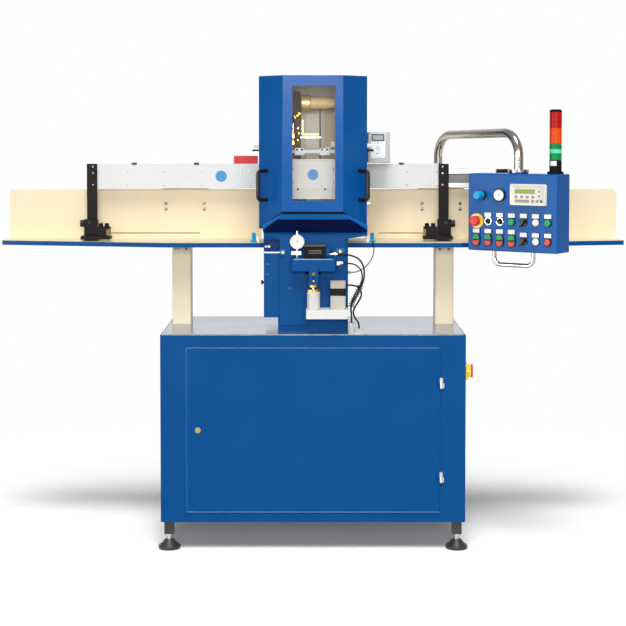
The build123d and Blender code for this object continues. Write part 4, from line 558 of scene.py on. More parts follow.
# lens: neck and rim, then h = 7 + 4 sin t over r = 14.2 sqrt(cos t)
lensTurn = np.linspace(0, pi / 2, 6)
lensRows = np.concatenate([[(0, 0), (12.9, 0), (12.9, 5), (14.2, 5.2)],
    np.stack([14.2 * np.cos(lensTurn) ** 0.5, 7 + 4 * np.sin(lensTurn)], axis=-1)])
pendantPiece("lampLenses", each(turned, [control(*spot) for spot in pendantLook["lamps"]], "pendant",
    profile=lensRows), "capWhite")
pendantPiece("doubleButtonFrames", each(openFrame, [control(column, 1)
    for column in pendantLook["doubles"]], "pendant", size=(34, 52), hole=(27, 45), height=8, corner=16),
    "mouldedBlack")
pendantPiece("stopPlate", each(ringOf, [control(*pendantLook["stop"])], "pendant", outer=30, inner=11,
    height=3, edge=0.6, count=56), "capYellow")
pendantPiece("regulatorBase", each(ringOf, [onPendant(*pendantLook["regulator"])], "pendant", outer=20,
    inner=8, height=10, edge=1.5), "mouldedBlack")

# Pull handle under the pendant: a bent bar, straight down, round two bends and up again
pullBar = dict(half=86, low=1144, bend=28, radius=9, top=1199, forward=38)
pullTurn = np.linspace(0, pi / 2, 9)
pullIn = pullBar["bend"] * (1 - np.cos(pullTurn))
pullOut = pullBar["bend"] * (1 - np.sin(pullTurn))
pullX = np.concatenate([[-pullBar["half"]], pullIn - pullBar["half"], pullBar["half"] - pullOut,
    [pullBar["half"]]])
pullZ = np.concatenate([[pullBar["top"]], pullBar["low"] + pullOut, pullBar["low"] + pullIn,
    [pullBar["top"]]])
pullPath = (pullX[:, None] * sides["pendant"][0] + pullZ[:, None] * sides["pendant"][1] + pendantMiddle
    + pullBar["forward"] * sides["pendant"][2])
pendantPiece("pullHandle", [carried(pullPath, pullBar["radius"], 16, guide=sides["pendant"][2])],
    "stainlessTube")

# Operator panel: cream housing with a sunk screen, two rows of grey keys, two arrows and a round green key
panelLook = dict(x=72, z=1426, face=11.2, rows=((0, 0), (0, 8), (2.5, 12), (6, 12), (7.5, 11.2)),
    screen=(-12, 13.5), glass=11.7, arrow=11.3, keys=((-49, -8, 13), (-24.5, -8, 13), (-0.5, -8, 13),
    (23.5, -8, 14), (-23, -24, 64), (23.5, -24, 14), (42, -24, 13)), arrows=((0, 13), (180, -3)), arrowX=50,
    enter=(59.5, -24))


def onPanel(x, z, lift=panelLook["face"]):
    # place on the operator panel, from its middle
    return onPendant(panelLook["x"] + x, panelLook["z"] + z, lift)


pendantPiece("operatorPanel", each(slab, [onPanel(0, 0, 0)], "pendant", size=(158, 85),
    profile=panelLook["rows"], corner=7), "mouldedCream")
pendantPiece("screenFrame", each(tile, [onPanel(*panelLook["screen"])], "pendant", size=(91, 20),
    height=0.5, corner=3, edge=0.2), "mouldedGrey")
pendantPiece("screenGlass", each(tile, [onPanel(*panelLook["screen"], panelLook["glass"])], "pendant",
    size=(85, 15), height=0.4, corner=1.5, edge=0.1), "displayGreen")
pendantPiece("greyKeys", [tile(size=(width, 11), height=1.2, side="pendant", center=onPanel(x, z), edge=0.4)
    for x, z, width in panelLook["keys"]], "keyDim")
pendantPiece("arrowKeys", [needle(length=5, tail=2.5, width=10, turn=turn, side="pendant",
    center=onPanel(panelLook["arrowX"], z, panelLook["arrow"])) for turn, z in panelLook["arrows"]],
    "mouldedBlack")
pendantPiece("enterKey", each(disc, [onPanel(*panelLook["enter"])], "pendant", radius=6.5, height=1.2,
    count=28), "capGreen")

# Pressure gauge on the pendant: black case, white face, marks and a blue pointer
gaugeLook = dict(place=(-54, 1423), face=12, marks=12.4, pointer=12.8, case=(
    (0, 0), (24, 0), (26, 3), (26, 12.5), (24.5, 14), (22.6, 14), (22, 12), (0, 12)))
gaugeAt = {key: onPendant(*gaugeLook["place"], gaugeLook[key]) for key in ("face", "marks", "pointer")}
pendantPiece("pressureGaugeCase", each(turned, [onPendant(*gaugeLook["place"])], "pendant",
    profile=gaugeLook["case"], count=48), "mouldedBlack")
pendantPiece("pressureGaugeFace", each(disc, [gaugeAt["face"]], "pendant", radius=21.8, height=0.4,
    edge=0.1, count=48), "labelWhite")
pendantPiece("pressureGaugeMarks", scaleMarks(count=13, inner=17, outer=20, width=0.8, sweep=(-135, 135),
    side="pendant", center=gaugeAt["marks"]), "mouldedBlack")
pendantPiece("pressureGaugePointer", each(needle, [gaugeAt["pointer"]], "pendant", length=15, tail=5,
    width=3, turn=40) + each(disc, [gaugeAt["marks"]], "pendant", radius=2.6, height=0.8, edge=0.2,
    count=20), "vinylBlue")

# Plain sticker on the tower's foot, round a part of the tube: P(t) = foot + r (sin t, cos t) at two heights
stickerLook = dict(tower=160, reach=0.62, inner=24.0, outer=24.35, low=1541, high=1560)
towerAt = pendantMiddle + stickerLook["tower"] * sides["pendant"][0]
stickerTurn = np.linspace(-stickerLook["reach"], stickerLook["reach"], 9)
stickerRim = np.stack([np.sin(stickerTurn), 0 * stickerTurn, np.cos(stickerTurn)], axis=-1) @ sides["pendant"]
stickerGrid = np.stack([towerAt + stickerLook[radius] * stickerRim + np.array((0, 0, stickerLook[level]))
    for radius, level in (("inner", "low"), ("outer", "low"), ("outer", "high"), ("inner", "high"),
    ("inner", "low"))], axis=1)
makePiece("towerSticker", [capped(stickerGrid) * mm], "labelWhite", "pendant")
print("pendant fitted")


# Cables, each a smooth line at the place of its solid
for cableName, look in cables.items():
    cable = cableCurve(cableName, look["points"], look["diameter"])
    cable.data.materials.append(finishOf("cablePvc"))
    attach(cable, "machine")
    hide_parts("feed_cables")

# Spiral wrap round the feed cable and the hose: a helix P(t) = line(t) + r (cos wt N + sin wt B) about the
# line midway between them
wrapLook = dict(turns=11, steps=16, radius=10.8, tape=1.4, top=1062, bottom=976)
wrapZ = np.linspace(wrapLook["top"], wrapLook["bottom"], wrapLook["turns"] * wrapLook["steps"])
wrapLines = [cableLine(name + "Line", cables[name]["points"])[::-1] / mm
    for name in ("feedCable", "slideHose")]
wrapMiddle = sum(np.stack([np.interp(wrapZ, line[:, 2], line[:, axis]) for axis in range(3)], axis=-1)
    for line in wrapLines) / 2
wrapAhead = unit(np.gradient(wrapMiddle, axis=0))
wrapOutward = unit(np.cross(wrapAhead, (0, 1, 0)))
wrapSideward = np.cross(wrapAhead, wrapOutward)
wrapTurn = np.linspace(0, wrapLook["turns"] * 2 * pi, len(wrapMiddle))[:, None]
helix = wrapMiddle + wrapLook["radius"] * (np.cos(wrapTurn) * wrapOutward + np.sin(wrapTurn) * wrapSideward)
spiralWrap = makePiece("spiralWrap", [carried(helix, wrapLook["tape"], 6, guide=(0.3, 0.2, 0.93))],
    "mouldedBlack")
print("cables laid")


# Screws, clips and the plain blue disc on the travelling covers, and the screws of the arms
coverLook = dict(front=204, rows=(1505, 1449), left=(-792, -634, -480, -308, -270), right=(248, 403, 528),
    disc=(-392, 204, 1486), clips=dict(left=(-762, -497), right=(377,)), clipY=205.5, clipZ=1535)
armLook = dict(front=187, levels=(1527, 1500, 1450), left=-936, right=551,
    clamps=dict(left=(-947, 147, 1290), right=(562, 147, 1290)))
for side in ("left", "right"):
    carriage = "carriage_" + side
    coverSpots = [(x, coverLook["front"], z) for x in coverLook[side] for z in coverLook["rows"]]
    makePiece("coverScrews." + side, each(domeHead, coverSpots, radius=4.5, height=2.6), "zincCasting",
        carriage)
    armSpots = [(armLook[side], armLook["front"], z) for z in armLook["levels"]]
    makePiece("armScrews." + side, each(boltHead, armSpots, radius=5, height=3), "steelPolished", carriage)
    makePiece("clampBolts." + side, each(boltHead, [armLook["clamps"][side]], radius=9, height=5),
        "mouldedBlack", carriage)
    clipSpots = [(x, coverLook["clipY"], coverLook["clipZ"]) for x in coverLook["clips"][side]]
    makePiece("coverClips." + side, each(slab, clipSpots, "top", size=(22, 7),
        profile=((0, 0), (0, 7), (1.5, 9))), "mouldedBlack", carriage)
makePiece("coverDisc", each(disc, [coverLook["disc"]], radius=24, height=0.6, edge=0.2, count=56),
    "vinylBlue", "carriage_left")
# red stop on the right clamp, and end block of the right axis
makePiece("clampStop", each(domeHead, [(578, 167, 1251)], "right", radius=5, height=4), "capRed",
    "carriage_right")
makePiece("axisEndBlock", each(tile, [(816, 219, 1506)], size=(67, 20), height=3, edge=1), "anodisedBlack")

# Dial gauge: bezel, white face with marks, pointer and hub
dialLook = dict(x=-63, z=1236, bezel=((25.5, 0), (28.6, 0), (28.6, 1.4), (27.4, 2.4), (26, 2.4),
    (25.5, 1.6), (25.5, 0)))
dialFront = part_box("dial_gauge")[0][1] / mm
dialAt, markAt, pointerAt = [(dialLook["x"], dialFront - lift, dialLook["z"]) for lift in (0, 0.5, 0.8)]
makePiece("dialBezel", each(turned, [dialAt], profile=dialLook["bezel"], count=56), "zincCasting")
makePiece("dialFace", each(disc, [dialAt], radius=25.4, height=0.5, edge=0.1, count=56), "labelWhite")
makePiece("dialMarks", scaleMarks(count=50, inner=21, outer=24, width=0.45, sweep=(0, 352.8), side="front",
    center=markAt) + scaleMarks(count=10, inner=19, outer=24, width=0.8, sweep=(0, 324), side="front",
    center=markAt), "mouldedBlack")
makePiece("dialPointer", each(needle, [pointerAt], length=21, tail=7, width=2.4, turn=20)
    + each(disc, [markAt], radius=2.4, height=0.9, edge=0.2, count=20), "mouldedBlack")

# Inverter: dark display, white keypad and a round knob
inverterLook = dict(x=271, face=1617, pad=1601, display=1651, knob=1606, keys=(
    (-13, 1627, 3), (0, 1627, 7), (14, 1626, 4), (-16, 1590, 4), (-3, 1585, 12), (10, 1590, 4)))
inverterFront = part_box("inverter")[0][1] / mm


def onInverter(z, lift=0.0, x=0.0):
    # place on the inverter's front, in mm
    return (inverterLook["x"] + x, inverterFront - lift, z)


makePiece("inverterFace", each(tile, [onInverter(inverterLook["face"])], size=(61, 106), height=1.5,
    corner=3) + each(tile, [onInverter(inverterLook["pad"], lift=1.5)], size=(57, 64), height=1.5,
    corner=3), "capWhite")
makePiece("inverterDisplay", each(tile, [onInverter(inverterLook["display"], lift=1.5)], size=(55, 31),
    height=1.4, edge=0.3), "displayDark")
makePiece("inverterScreen", each(tile, [onInverter(inverterLook["display"], lift=2.9)], size=(42, 19),
    height=0.3, corner=1, edge=0.1), "displayPale")
makePiece("inverterDial", each(ringOf, [onInverter(inverterLook["knob"], lift=3)], outer=9, inner=5.5,
    height=1.2, edge=0.4, count=32), "keyGrey")
makePiece("inverterKeys", [tile(size=(width, 3), height=0.6, side="front",
    center=onInverter(z, lift=3, x=x), corner=1.2, edge=0.2) for x, z, width in inverterLook["keys"]],
    "displayDark")
print("covers, arms, dial and inverter fitted")


surfaceTrees = {}


def frontOf(x, z, *nodeNames):
    # where a straight line from the front first meets one of the nodes, in mm
    for nodeName in nodeNames:
        if nodeName not in surfaceTrees:
            mesh = nodes[nodeName].data
            surfaceTrees[nodeName] = BVHTree.FromPolygons([spot.co for spot in mesh.vertices],
                [face.vertices for face in mesh.polygons])
    hits = [surfaceTrees[name].ray_cast((x * mm, -3.0, z * mm), (0, 1, 0))[0] for name in nodeNames]
    return min(hit.y for hit in hits if hit) / mm


def onColumn(x, z, lift=0.0):
    # place on the column's front, in mm
    return (x, frontOf(x, z, "column", "column_front_plate") - lift, z)


# Column: a thin deep-blue plate as painted shade in the recess under the head, with its bolts and screw; a
# light strip under it as a painted highlight on the recess's lower edge;
# two ears in a lighter blue as painted highlight, with bolts; bronze oiling screws and a knob at the side
columnLook = dict(cover=(-165.5, 1219), shadePlateHigh=3, bolts=((-176, 1215), (-188, 1214)), screw=(-143, 1216),
    strip=(-165.5, 1190), ears=((-121, 1192.5, 24), (109, 1196.5, 36)), earHigh=10,
    oilers=((-184, 1143), (-184, 1102), (-93, 1048)), knobAt=(-198, -150, 1067),
    knob=((0, 0), (5, 0), (5, 4), (9, 5), (9, 11), (8, 12), (0, 12)))
# the deep-blue plate is painted shade in the recess under the column's head
recessShadeAt = onColumn(*columnLook["cover"])
recessShadeTop = recessShadeAt[1] - columnLook["shadePlateHigh"]
makePiece("recessShadePlate", each(tile, [recessShadeAt], size=(62, 42), height=columnLook["shadePlateHigh"], corner=4),
    "powderCoatShadeBlue")
makePiece("recessBolts", each(boltHead, [(x, recessShadeTop, z) for x, z in columnLook["bolts"]], radius=5.5,
    height=4), "chromePlate")
screwX, screwZ = columnLook["screw"]
makePiece("recessScrew", each(boltHead, [(screwX, recessShadeTop, screwZ)], radius=5.5, height=4),
    "mouldedBlack")
# light strip: a painted highlight along the recess's lower edge
makePiece("recessEdgeHighlight", each(tile, [onColumn(*columnLook["strip"])], size=(62, 6), height=2, corner=1),
    "zincCasting")
# ears in the lighter blue: a painted highlight
makePiece("columnEars", [tile(size=(width, 25), height=columnLook["earHigh"], side="front",
    center=onColumn(x, z), corner=4, edge=2) for x, z, width in columnLook["ears"]], "powderCoatHighlightBlue")
makePiece("earBolts", each(boltHead, [onColumn(x, z, columnLook["earHigh"])
    for x, z, width in columnLook["ears"]], radius=7, height=5), "brassTurned")
makePiece("oilingScrews", each(boltHead, [onColumn(x, z) for x, z in columnLook["oilers"]], radius=3.8,
    height=4), "bronzeDark")
makePiece("columnKnob", each(turned, [columnLook["knobAt"]], "left", profile=columnLook["knob"], count=28),
    "mouldedBlack")

# Rounded edges that catch the light on three sides of the door, a shade lighter than the door as a painted
# highlight;
# and a pale bar along the top of the infeed slide, a painted highlight
edgeLook = dict(radius=2.3, sunk=1.2, spare=0.2, slideHalf=76, slideTop=1167, slideAt=(-30, 1150))
doorLow, doorHigh = [np.array(corner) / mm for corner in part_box("cabinet_door")]
edgeInset = edgeLook["radius"] + edgeLook["spare"]
edgeLeft, edgeBottom = doorLow[[0, 2]] + edgeInset
edgeRight, edgeTop = doorHigh[[0, 2]] - edgeInset
edgeY = doorLow[1] + edgeLook["sunk"]
edgeRuns = (((edgeLeft, edgeTop), (edgeRight, edgeTop)), ((edgeRight, edgeBottom), (edgeLeft, edgeBottom)),
    ((edgeLeft, edgeBottom), (edgeLeft, edgeTop)))
makePiece("doorEdge", [carried([(x, edgeY, z) for x, z in run], edgeLook["radius"]) for run in edgeRuns],
    "powderCoatEdgeHighlight", "door")
# pale bar along the slide's top: a painted highlight
slideY = frontOf(*edgeLook["slideAt"], "infeed_slide") + edgeLook["sunk"]
slideRun = [(x, slideY, edgeLook["slideTop"]) for x in (-edgeLook["slideHalf"], edgeLook["slideHalf"])]
makePiece("slideEdgeHighlight", [carried(slideRun, edgeLook["radius"])], "paintedEdgeHighlight", "infeed")

# Infeed: lever bolt with a small screw below it
leverLook = dict(x=2, bolt=1110, screw=1084)
boltAt, screwAt = [(leverLook["x"], frontOf(leverLook["x"], leverLook[key], "infeed_slide"), leverLook[key])
    for key in ("bolt", "screw")]
makePiece("leverBolt", each(boltHead, [boltAt], radius=8, height=5), "bronzeDark", "infeed")
makePiece("leverScrew", each(boltHead, [screwAt], radius=3.8, height=4), "brassTurned", "infeed")

# Feed unit above the slide: lid, bare fins, end block and knob
unitLook = dict(middle=8, level=1198, fins=(1191, 1197, 1203), lidBack=25, end=(59, 8, 1196),
    knob=(65.5, 18, 1200))
unitFront = frontOf(unitLook["middle"], unitLook["level"], "feed_motors")
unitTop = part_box("feed_motors")[1][2] / mm
makePiece("unitLid", each(tile, [(unitLook["middle"], unitFront + unitLook["lidBack"], unitTop)], "top",
    size=(90, 48), height=3), "bronzeDark")
makePiece("unitFins", each(tile, [(unitLook["middle"], unitFront, z) for z in unitLook["fins"]],
    size=(52, 2.2), height=1.5, corner=0.8), "guideSteel")
endAt, knobAt = [(x, unitFront + back, z) for x, back, z in (unitLook["end"], unitLook["knob"])]
makePiece("unitEnd", each(slab, [endAt], size=(13, 36), profile=((0, -34), (0, 0), (1, 1))), "powderCoatBlue")
makePiece("unitKnob", each(turned, [knobAt], "right", count=24,
    profile=((0, -2), (6.5, -2), (6.5, 8), (5, 10), (0, 10))), "mouldedBlack")

# Nuts on the cable fittings, collars round the plugs, and steel plates on the trays beside the sensors
cableNut = ((0, 0), (7.5, 0), (7.5, 6), (6.5, 7), (6, 7), (6, 9), (0, 9))
makePiece("cableNuts", each(turned, [(107, -218, 1150), (84, -218, 1186)], "right", profile=cableNut,
    count=6), "zincCasting")
makePiece("plugCollars", each(tile, [(154, -222, 868)], "top", size=(27, 34), height=5, corner=4, edge=1)
    + each(tile, [(184, -236, 868)], "top", size=(38, 22), height=5, corner=4, edge=1), "keyGrey")
makePiece("sensorPlates", each(tile, [(x, -8, 1232) for x in (-228, 228)], size=(13, 28), height=2,
    edge=0.4), "steelGround")

# Lip under the hood's seal: a band on the funnel, which is ruled between the hood's outline and the front
# plate; along each ruled line P(t) = upper + t (lower - upper) it starts under the seal and is `height` tall
lipLook = dict(height=21, sheet=2.0, sunk=0.5, seal=6.6, share=(0, 0.25, 0.5, 0.75, 1), seamTop=1358,
    seamLow=1291, front=246, back=148)
lipUpper = np.array(((-218, -148, 1358), (-120, -246, 1358), (120, -246, 1358), (218, -148, 1358)), float)
lipLower = np.array(((-198, -181, 1262), (-183, -196, 1262), (203, -196, 1262), (218, -181, 1262)), float)
lipPlaces = np.unique(np.concatenate([np.array(lipLook["share"]) + k for k in (0, 1, 2)]))
lipUpper, lipLower = [np.stack([np.interp(lipPlaces, np.arange(4), corners[:, axis]) for axis in range(3)],
    axis=-1) for corners in (lipUpper, lipLower)]
seamSlope = (lipLook["seamTop"] - lipLook["seamLow"]) / (lipLook["front"] - lipLook["back"])
lipRun = lipLower - lipUpper
lipStart = seamSlope * (lipUpper[:, 1] + lipLook["front"]) + lipLook["seal"]
lipStart = (lipStart / (-lipRun[:, 2] - seamSlope * lipRun[:, 1]))[:, None]
lipTop = lipUpper + lipStart * lipRun
lipFoot = lipUpper + (lipStart - lipLook["height"] / lipRun[:, 2:]) * lipRun
lipOutward = np.cross(np.gradient(np.stack([lipTop, lipFoot], axis=1), axis=0).mean(axis=1), lipFoot - lipTop)
lipOutward = unit(lipOutward) * -np.sign(lipOutward[:, 1:2])
lipGrid = np.stack([lipTop - lipLook["sunk"] * lipOutward, lipTop + lipLook["sheet"] * lipOutward,
    lipFoot + lipLook["sheet"] * lipOutward, lipFoot - lipLook["sunk"] * lipOutward], axis=1)
# the lip in the lighter blue: a painted highlight along the band
makePiece("hoodLip", [capped(lipGrid) * mm], "powderCoatHighlightBlue")

# Hood: hose nipple on its right side, and stops at both sides, each a black bar under a pale block
hoodLook = dict(half=218, depth=50, bar=1598, block=1617, nippleAt=(218, -136, 1384),
    nipple=((0, 0), (10, 0), (10, 7), (6, 8), (6, 14), (7.5, 15), (7, 18), (5, 22), (0, 22)),
    barRows=((0, 0), (3.6, 0), (3.6, 26), (4.4, 27), (4.4, 33), (3.4, 34), (0, 34)))
makePiece("hoodNipple", each(turned, [hoodLook["nippleAt"]], "right", profile=hoodLook["nipple"], count=24),
    "zincCasting", "hood")
hoodSides = (("right", hoodLook["half"]), ("left", -hoodLook["half"]))
makePiece("sideBars", [turned(hoodLook["barRows"], side, (x, hoodLook["depth"], hoodLook["bar"]), count=16)
    for side, x in hoodSides], "mouldedBlack", "hood")
makePiece("sideBlocks", [slab(size=(24, 17), profile=((0, 0), (0, 26), (1.5, 28)), side=side,
    center=(x, hoodLook["depth"], hoodLook["block"])) for side, x in hoodSides], "capWhite", "hood")

# Behind the window: rail and slot on the dresser's way, coolant pipe with brass fittings, strips and blocks
wayY, stripY = 139, 175  # fronts of the way and of the head plate, in mm
makePiece("dresserRail", each(tile, [(-10, wayY, 1651)], size=(88, 6), height=5, corner=1.5), "steelGround")
makePiece("dresserSlot", each(tile, [(30, wayY, 1662)], size=(5, 300), height=0.8, edge=0.2), "mouldedBlack")
pipeLook = dict(x=-82, top=1735, end=1625, back=176, front=10, straight=60, bend=30, radius=6,
    nuts=(1650, 1622), fittingY=173, fittings=((-58, 1752), (-66, 1744), (-63, 1690), (-60, 1668),
    (-64, 1640)))
pipeTurn = np.linspace(0, pi / 2, 8)
pipeBend = pipeLook["bend"]
pipeY = np.concatenate([[pipeLook["back"], pipeLook["straight"]],
    pipeLook["front"] + pipeBend * (1 - np.sin(pipeTurn)), [pipeLook["front"]] * 2])
pipeZ = np.concatenate([[pipeLook["top"]] * 2, pipeLook["top"] - pipeBend * (1 - np.cos(pipeTurn)),
    [pipeLook["top"] - 2 * pipeBend, pipeLook["end"]]])
pipePath = np.stack([pipeLook["x"] + 0 * pipeY, pipeY, pipeZ], axis=-1)
makePiece("coolantPipe", [carried(pipePath, pipeLook["radius"], 14, guide=(1, 0, 0))], "stainlessTube")
pipeNut = dict(profile=((0, 0), (10, 0), (10, 9), (8, 10), (8, 16), (0, 16)), count=6)
makePiece("pipeNuts", each(turned, [(pipeLook["x"], pipeLook["back"], pipeLook["top"])], **pipeNut)
    + each(turned, [(pipeLook["x"], pipeLook["front"], z) for z in pipeLook["nuts"]], "top", **pipeNut),
    "brassTurned")
makePiece("pipeFittings", each(turned, [(x, pipeLook["fittingY"], z) for x, z in pipeLook["fittings"]],
    profile=((0, 0), (5.5, 0), (5.5, 8), (4, 10), (0, 10)), count=6), "brassTurned")
makePiece("wayStrip", each(tile, [(-69, stripY, 1701)], size=(34, 286), height=2, corner=1)
    + each(tile, [(-80, stripY, 1837)], size=(56, 18), height=3, corner=1), "ironBrown")
makePiece("wayPlate", each(tile, [(-2, wayY, 1655)], size=(54, 190), height=3, corner=1.5), "wayGrey")
makePiece("wayFrame", each(tile, [(-44, wayY, 1695)], size=(5, 60), height=4, corner=1)
    + each(tile, [(-11, wayY, 1664)], size=(70, 5), height=4, corner=1), "brassTurned")
makePiece("wayBlocks", each(slab, [(84, stripY, 1622)], size=(17, 22), profile=((0, 0), (0, 24), (1.5, 26)))
    + each(tile, [(64, stripY, 1608)], size=(24, 7), height=21, corner=1.5, edge=1), "capWhite")
# black discs for the clamp blocks' holes: painted shade in them
makePiece("clampHoleShade", each(disc, [(x, -75.6, 1601.5) for x in (-65, -45, 37, 57)], radius=4.2, height=0.3,
    edge=0.1, count=24), "mouldedBlack")

# Guard: white upper plate with a plain disc and a folded strip, grey lower plate with holes painted as black
# discs for the shade in them, and edge screws
guardLook = dict(front=-81, sheet=0.5, margin=6, plate=1502, strip=1559, apron=1426,
    holes=((-62, 1440), (49, 1440)), screws=((-82, 1468), (-82, 1522), (84, 1468), (84, 1522)), disc=1500)
guardLow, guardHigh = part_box("inner_guard")
guardWidth = 2 * min(-guardLow[0], guardHigh[0]) / mm - guardLook["margin"]
guardY = guardLook["front"]
makePiece("guardDisc", each(disc, [(0, guardY, guardLook["disc"])], radius=22, height=1.0, edge=0.2,
    count=56), "vinylBlue")
makePiece("guardPlate", each(tile, [(0, guardY, guardLook["plate"])], size=(guardWidth, 95),
    height=guardLook["sheet"], edge=0.2) + each(tile, [(0, guardY, guardLook["strip"])],
    size=(guardWidth, 8), height=4, edge=2), "guardWhite")
makePiece("guardApron", each(tile, [(0, guardY, guardLook["apron"])], size=(guardWidth, 46),
    height=guardLook["sheet"], edge=0.2), "apronGrey")
holeSpots, screwSpots = [[(x, guardY - guardLook["sheet"], z) for x, z in guardLook[key]]
    for key in ("holes", "screws")]
# black discs for the lower plate's holes: painted shade in them; the edge screws are black
makePiece("guardHoleShadeAndScrews", each(disc, holeSpots, radius=4.5, height=0.4, edge=0.1, count=24)
    + each(disc, screwSpots, radius=2.6, height=0.8, edge=0.2, count=16), "mouldedBlack")

# Screws at the head of each post, under the trays
postLook = dict(height=1182, middle=551, apart=18)
postSpots = [(x + away, frontOf(x, postLook["height"], "posts"), postLook["height"])
    for x in (-postLook["middle"], postLook["middle"]) for away in (-postLook["apart"], postLook["apart"])]
makePiece("postScrews", each(domeHead, postSpots, radius=5.5, height=3), "steelPolished")

# Control plate behind the door: wire ducts, terminals, contactors, fuse switches, drive covers and wires
controlLook = dict(deepest=120, ducts=(442, 250), row=346, terminals=range(-395, -95, 11), screwRise=22,
    screwLift=48.5, contactors=range(-60, 190, 62), switches=range(230, 410, 20), leverRise=4, coverZ=676,
    ribs=range(556, 628, 12), drives=((-320, 120, 120), (-130, 110, 80), (30, 110, 80)),
    wires=((-380, -250, 468, 120), (-178, -82, 528, 110), (-18, 78, 528, 110)))
wireLook = dict(share=0.2, sag=14, rise=4, radius=2.4, each=6, end=452)
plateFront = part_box("control_modules")[0][1] / mm + controlLook["deepest"]
rowOf = {key: [(x, plateFront, controlLook["row"]) for x in controlLook[key]]
    for key in ("terminals", "contactors", "switches")}
makePiece("wireDucts", each(slab, [(0, plateFront, z) for z in controlLook["ducts"]], size=(860, 42),
    corner=1.5, profile=((1.5, 0), (1.5, 42), (0, 42.5), (0, 49), (1, 50))), "apronGrey")
makePiece("deviceRail", each(tile, [(0, plateFront, controlLook["row"])], size=(850, 35), height=7.5,
    corner=1, edge=1), "zincCasting")
makePiece("terminals", each(slab, rowOf["terminals"], size=(10, 62), corner=1.5, steps=2,
    profile=((0, 7), (0, 38), (1, 39), (1, 48), (2, 49))), "mouldedGrey")
terminalSpots = [(x, y - controlLook["screwLift"], z + rise) for x, y, z in rowOf["terminals"]
    for rise in (-controlLook["screwRise"], controlLook["screwRise"])]
makePiece("terminalScrews", each(domeHead, terminalSpots, radius=3, height=1.5), "zincCasting")
makePiece("contactors", each(slab, rowOf["contactors"], size=(52, 86), corner=3,
    profile=((0, 7), (0, 60), (1, 61), (9, 61.5), (9, 78), (10.5, 80))), "mouldedBlack")
makePiece("fuseSwitches", each(slab, rowOf["switches"], size=(17.5, 84), corner=1.5,
    profile=((0, 7), (0, 44), (0.5, 45))) + each(slab, rowOf["switches"], size=(17, 46), corner=1.5,
    profile=((0, 44), (0, 66), (0.5, 67))), "apronGrey")
leverSpots = [(x, y, z + controlLook["leverRise"]) for x, y, z in rowOf["switches"]]
makePiece("fuseLevers", each(slab, leverSpots, size=(8, 20), corner=1.5,
    profile=((0, 66), (0, 70), (2, 74))), "mouldedBlack")
makePiece("driveCovers", [tile(size=(width, 74), height=4, side="front",
    center=(x, plateFront - depth, controlLook["coverZ"]), corner=4)
    for x, depth, width in controlLook["drives"]] + [slab(size=(width, 5),
    profile=((0, 0), (0.5, 2), (1.5, 3)), side="front", center=(x, plateFront - depth, z))
    for x, depth, width in controlLook["drives"] for z in controlLook["ribs"]], "mouldedBlack")
# each wire hangs forward from a drive to the duct: y = front - sag sin t, z falls evenly with t
wireTurn = np.linspace(0, pi, 12)
plateWires = []
for low, high, bottom, depth in controlLook["wires"]:
    wireY = plateFront - depth * wireLook["share"] - wireLook["sag"] * np.sin(wireTurn)
    wireZ = bottom + wireLook["rise"] - (bottom - wireLook["end"]) * wireTurn / pi
    plateWires += [carried(np.stack([x + 0 * wireTurn, wireY, wireZ], axis=-1), wireLook["radius"], 8,
        (1, 0, 0)) for x in np.linspace(low, high, wireLook["each"])]
makePiece("plateWires", plateWires, "rubberBlack")

# Back, which no picture shows: a screwed cover with louvres and a cable gland, a service plate on the column
# and the bolts of the head plate
backLook = dict(sheet=2, cover=488, louvreX=(-300, 300), louvreZ=range(420, 570, 24), screwZ=(198, 778),
    screwX=(-480, -160, 160, 480), glandX=430, glandZ=236, plateX=-28, plateZ=1070, plateHigh=3,
    plateBolts=((-84, -98), (-84, 98), (84, -98), (84, 98)), headX=(-190, 190),
    headZ=(1310, 1480, 1660, 1830), gland=((0, 0), (17, 0), (17, 4), (15, 5), (12, 5), (12, 7), (10, 8),
    (0, 8)))
cabinetBack, columnBack, headBack = [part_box(name)[1][1] / mm
    for name in ("cabinet_shell", "column", "head_plate")]
coverBack = cabinetBack + backLook["sheet"]
makePiece("backCover", each(tile, [(0, cabinetBack, backLook["cover"])], "back", size=(1000, 620),
    height=backLook["sheet"], corner=12), "powderCoatBlue")
louvreSpots = [(x, coverBack, z) for x in backLook["louvreX"] for z in backLook["louvreZ"]]
makePiece("backLouvres", each(slab, louvreSpots, "back", size=(190, 12), corner=5,
    profile=((0, 0), (0.5, 2.5), (4, 5))), "powderCoatBlue")
backSpots = [(x, coverBack, z) for x in backLook["screwX"] for z in backLook["screwZ"]]
backSpots += [(x, coverBack, backLook["cover"]) for x in backLook["screwX"][::3]]
makePiece("backScrews", each(domeHead, backSpots, "back", radius=6, height=3.5), "zincCasting")
makePiece("cableGland", each(turned, [(backLook["glandX"], coverBack, backLook["glandZ"])], "back",
    profile=backLook["gland"], count=24), "mouldedBlack")
plateX, plateZ = backLook["plateX"], backLook["plateZ"]
makePiece("columnBackPlate", each(tile, [(plateX, columnBack, plateZ)], "back", size=(200, 230),
    height=backLook["plateHigh"], corner=6), "powderCoatBlue")
headSpots = [(x, headBack, z) for x in backLook["headX"] for z in backLook["headZ"]]
plateSpots = [(plateX + x, columnBack + backLook["plateHigh"], plateZ + z) for x, z in backLook["plateBolts"]]
makePiece("backBolts", each(boltHead, headSpots, "back", radius=7, height=5)
    + each(boltHead, plateSpots, "back", radius=6, height=4), "steelPolished")
print("machine fitted")


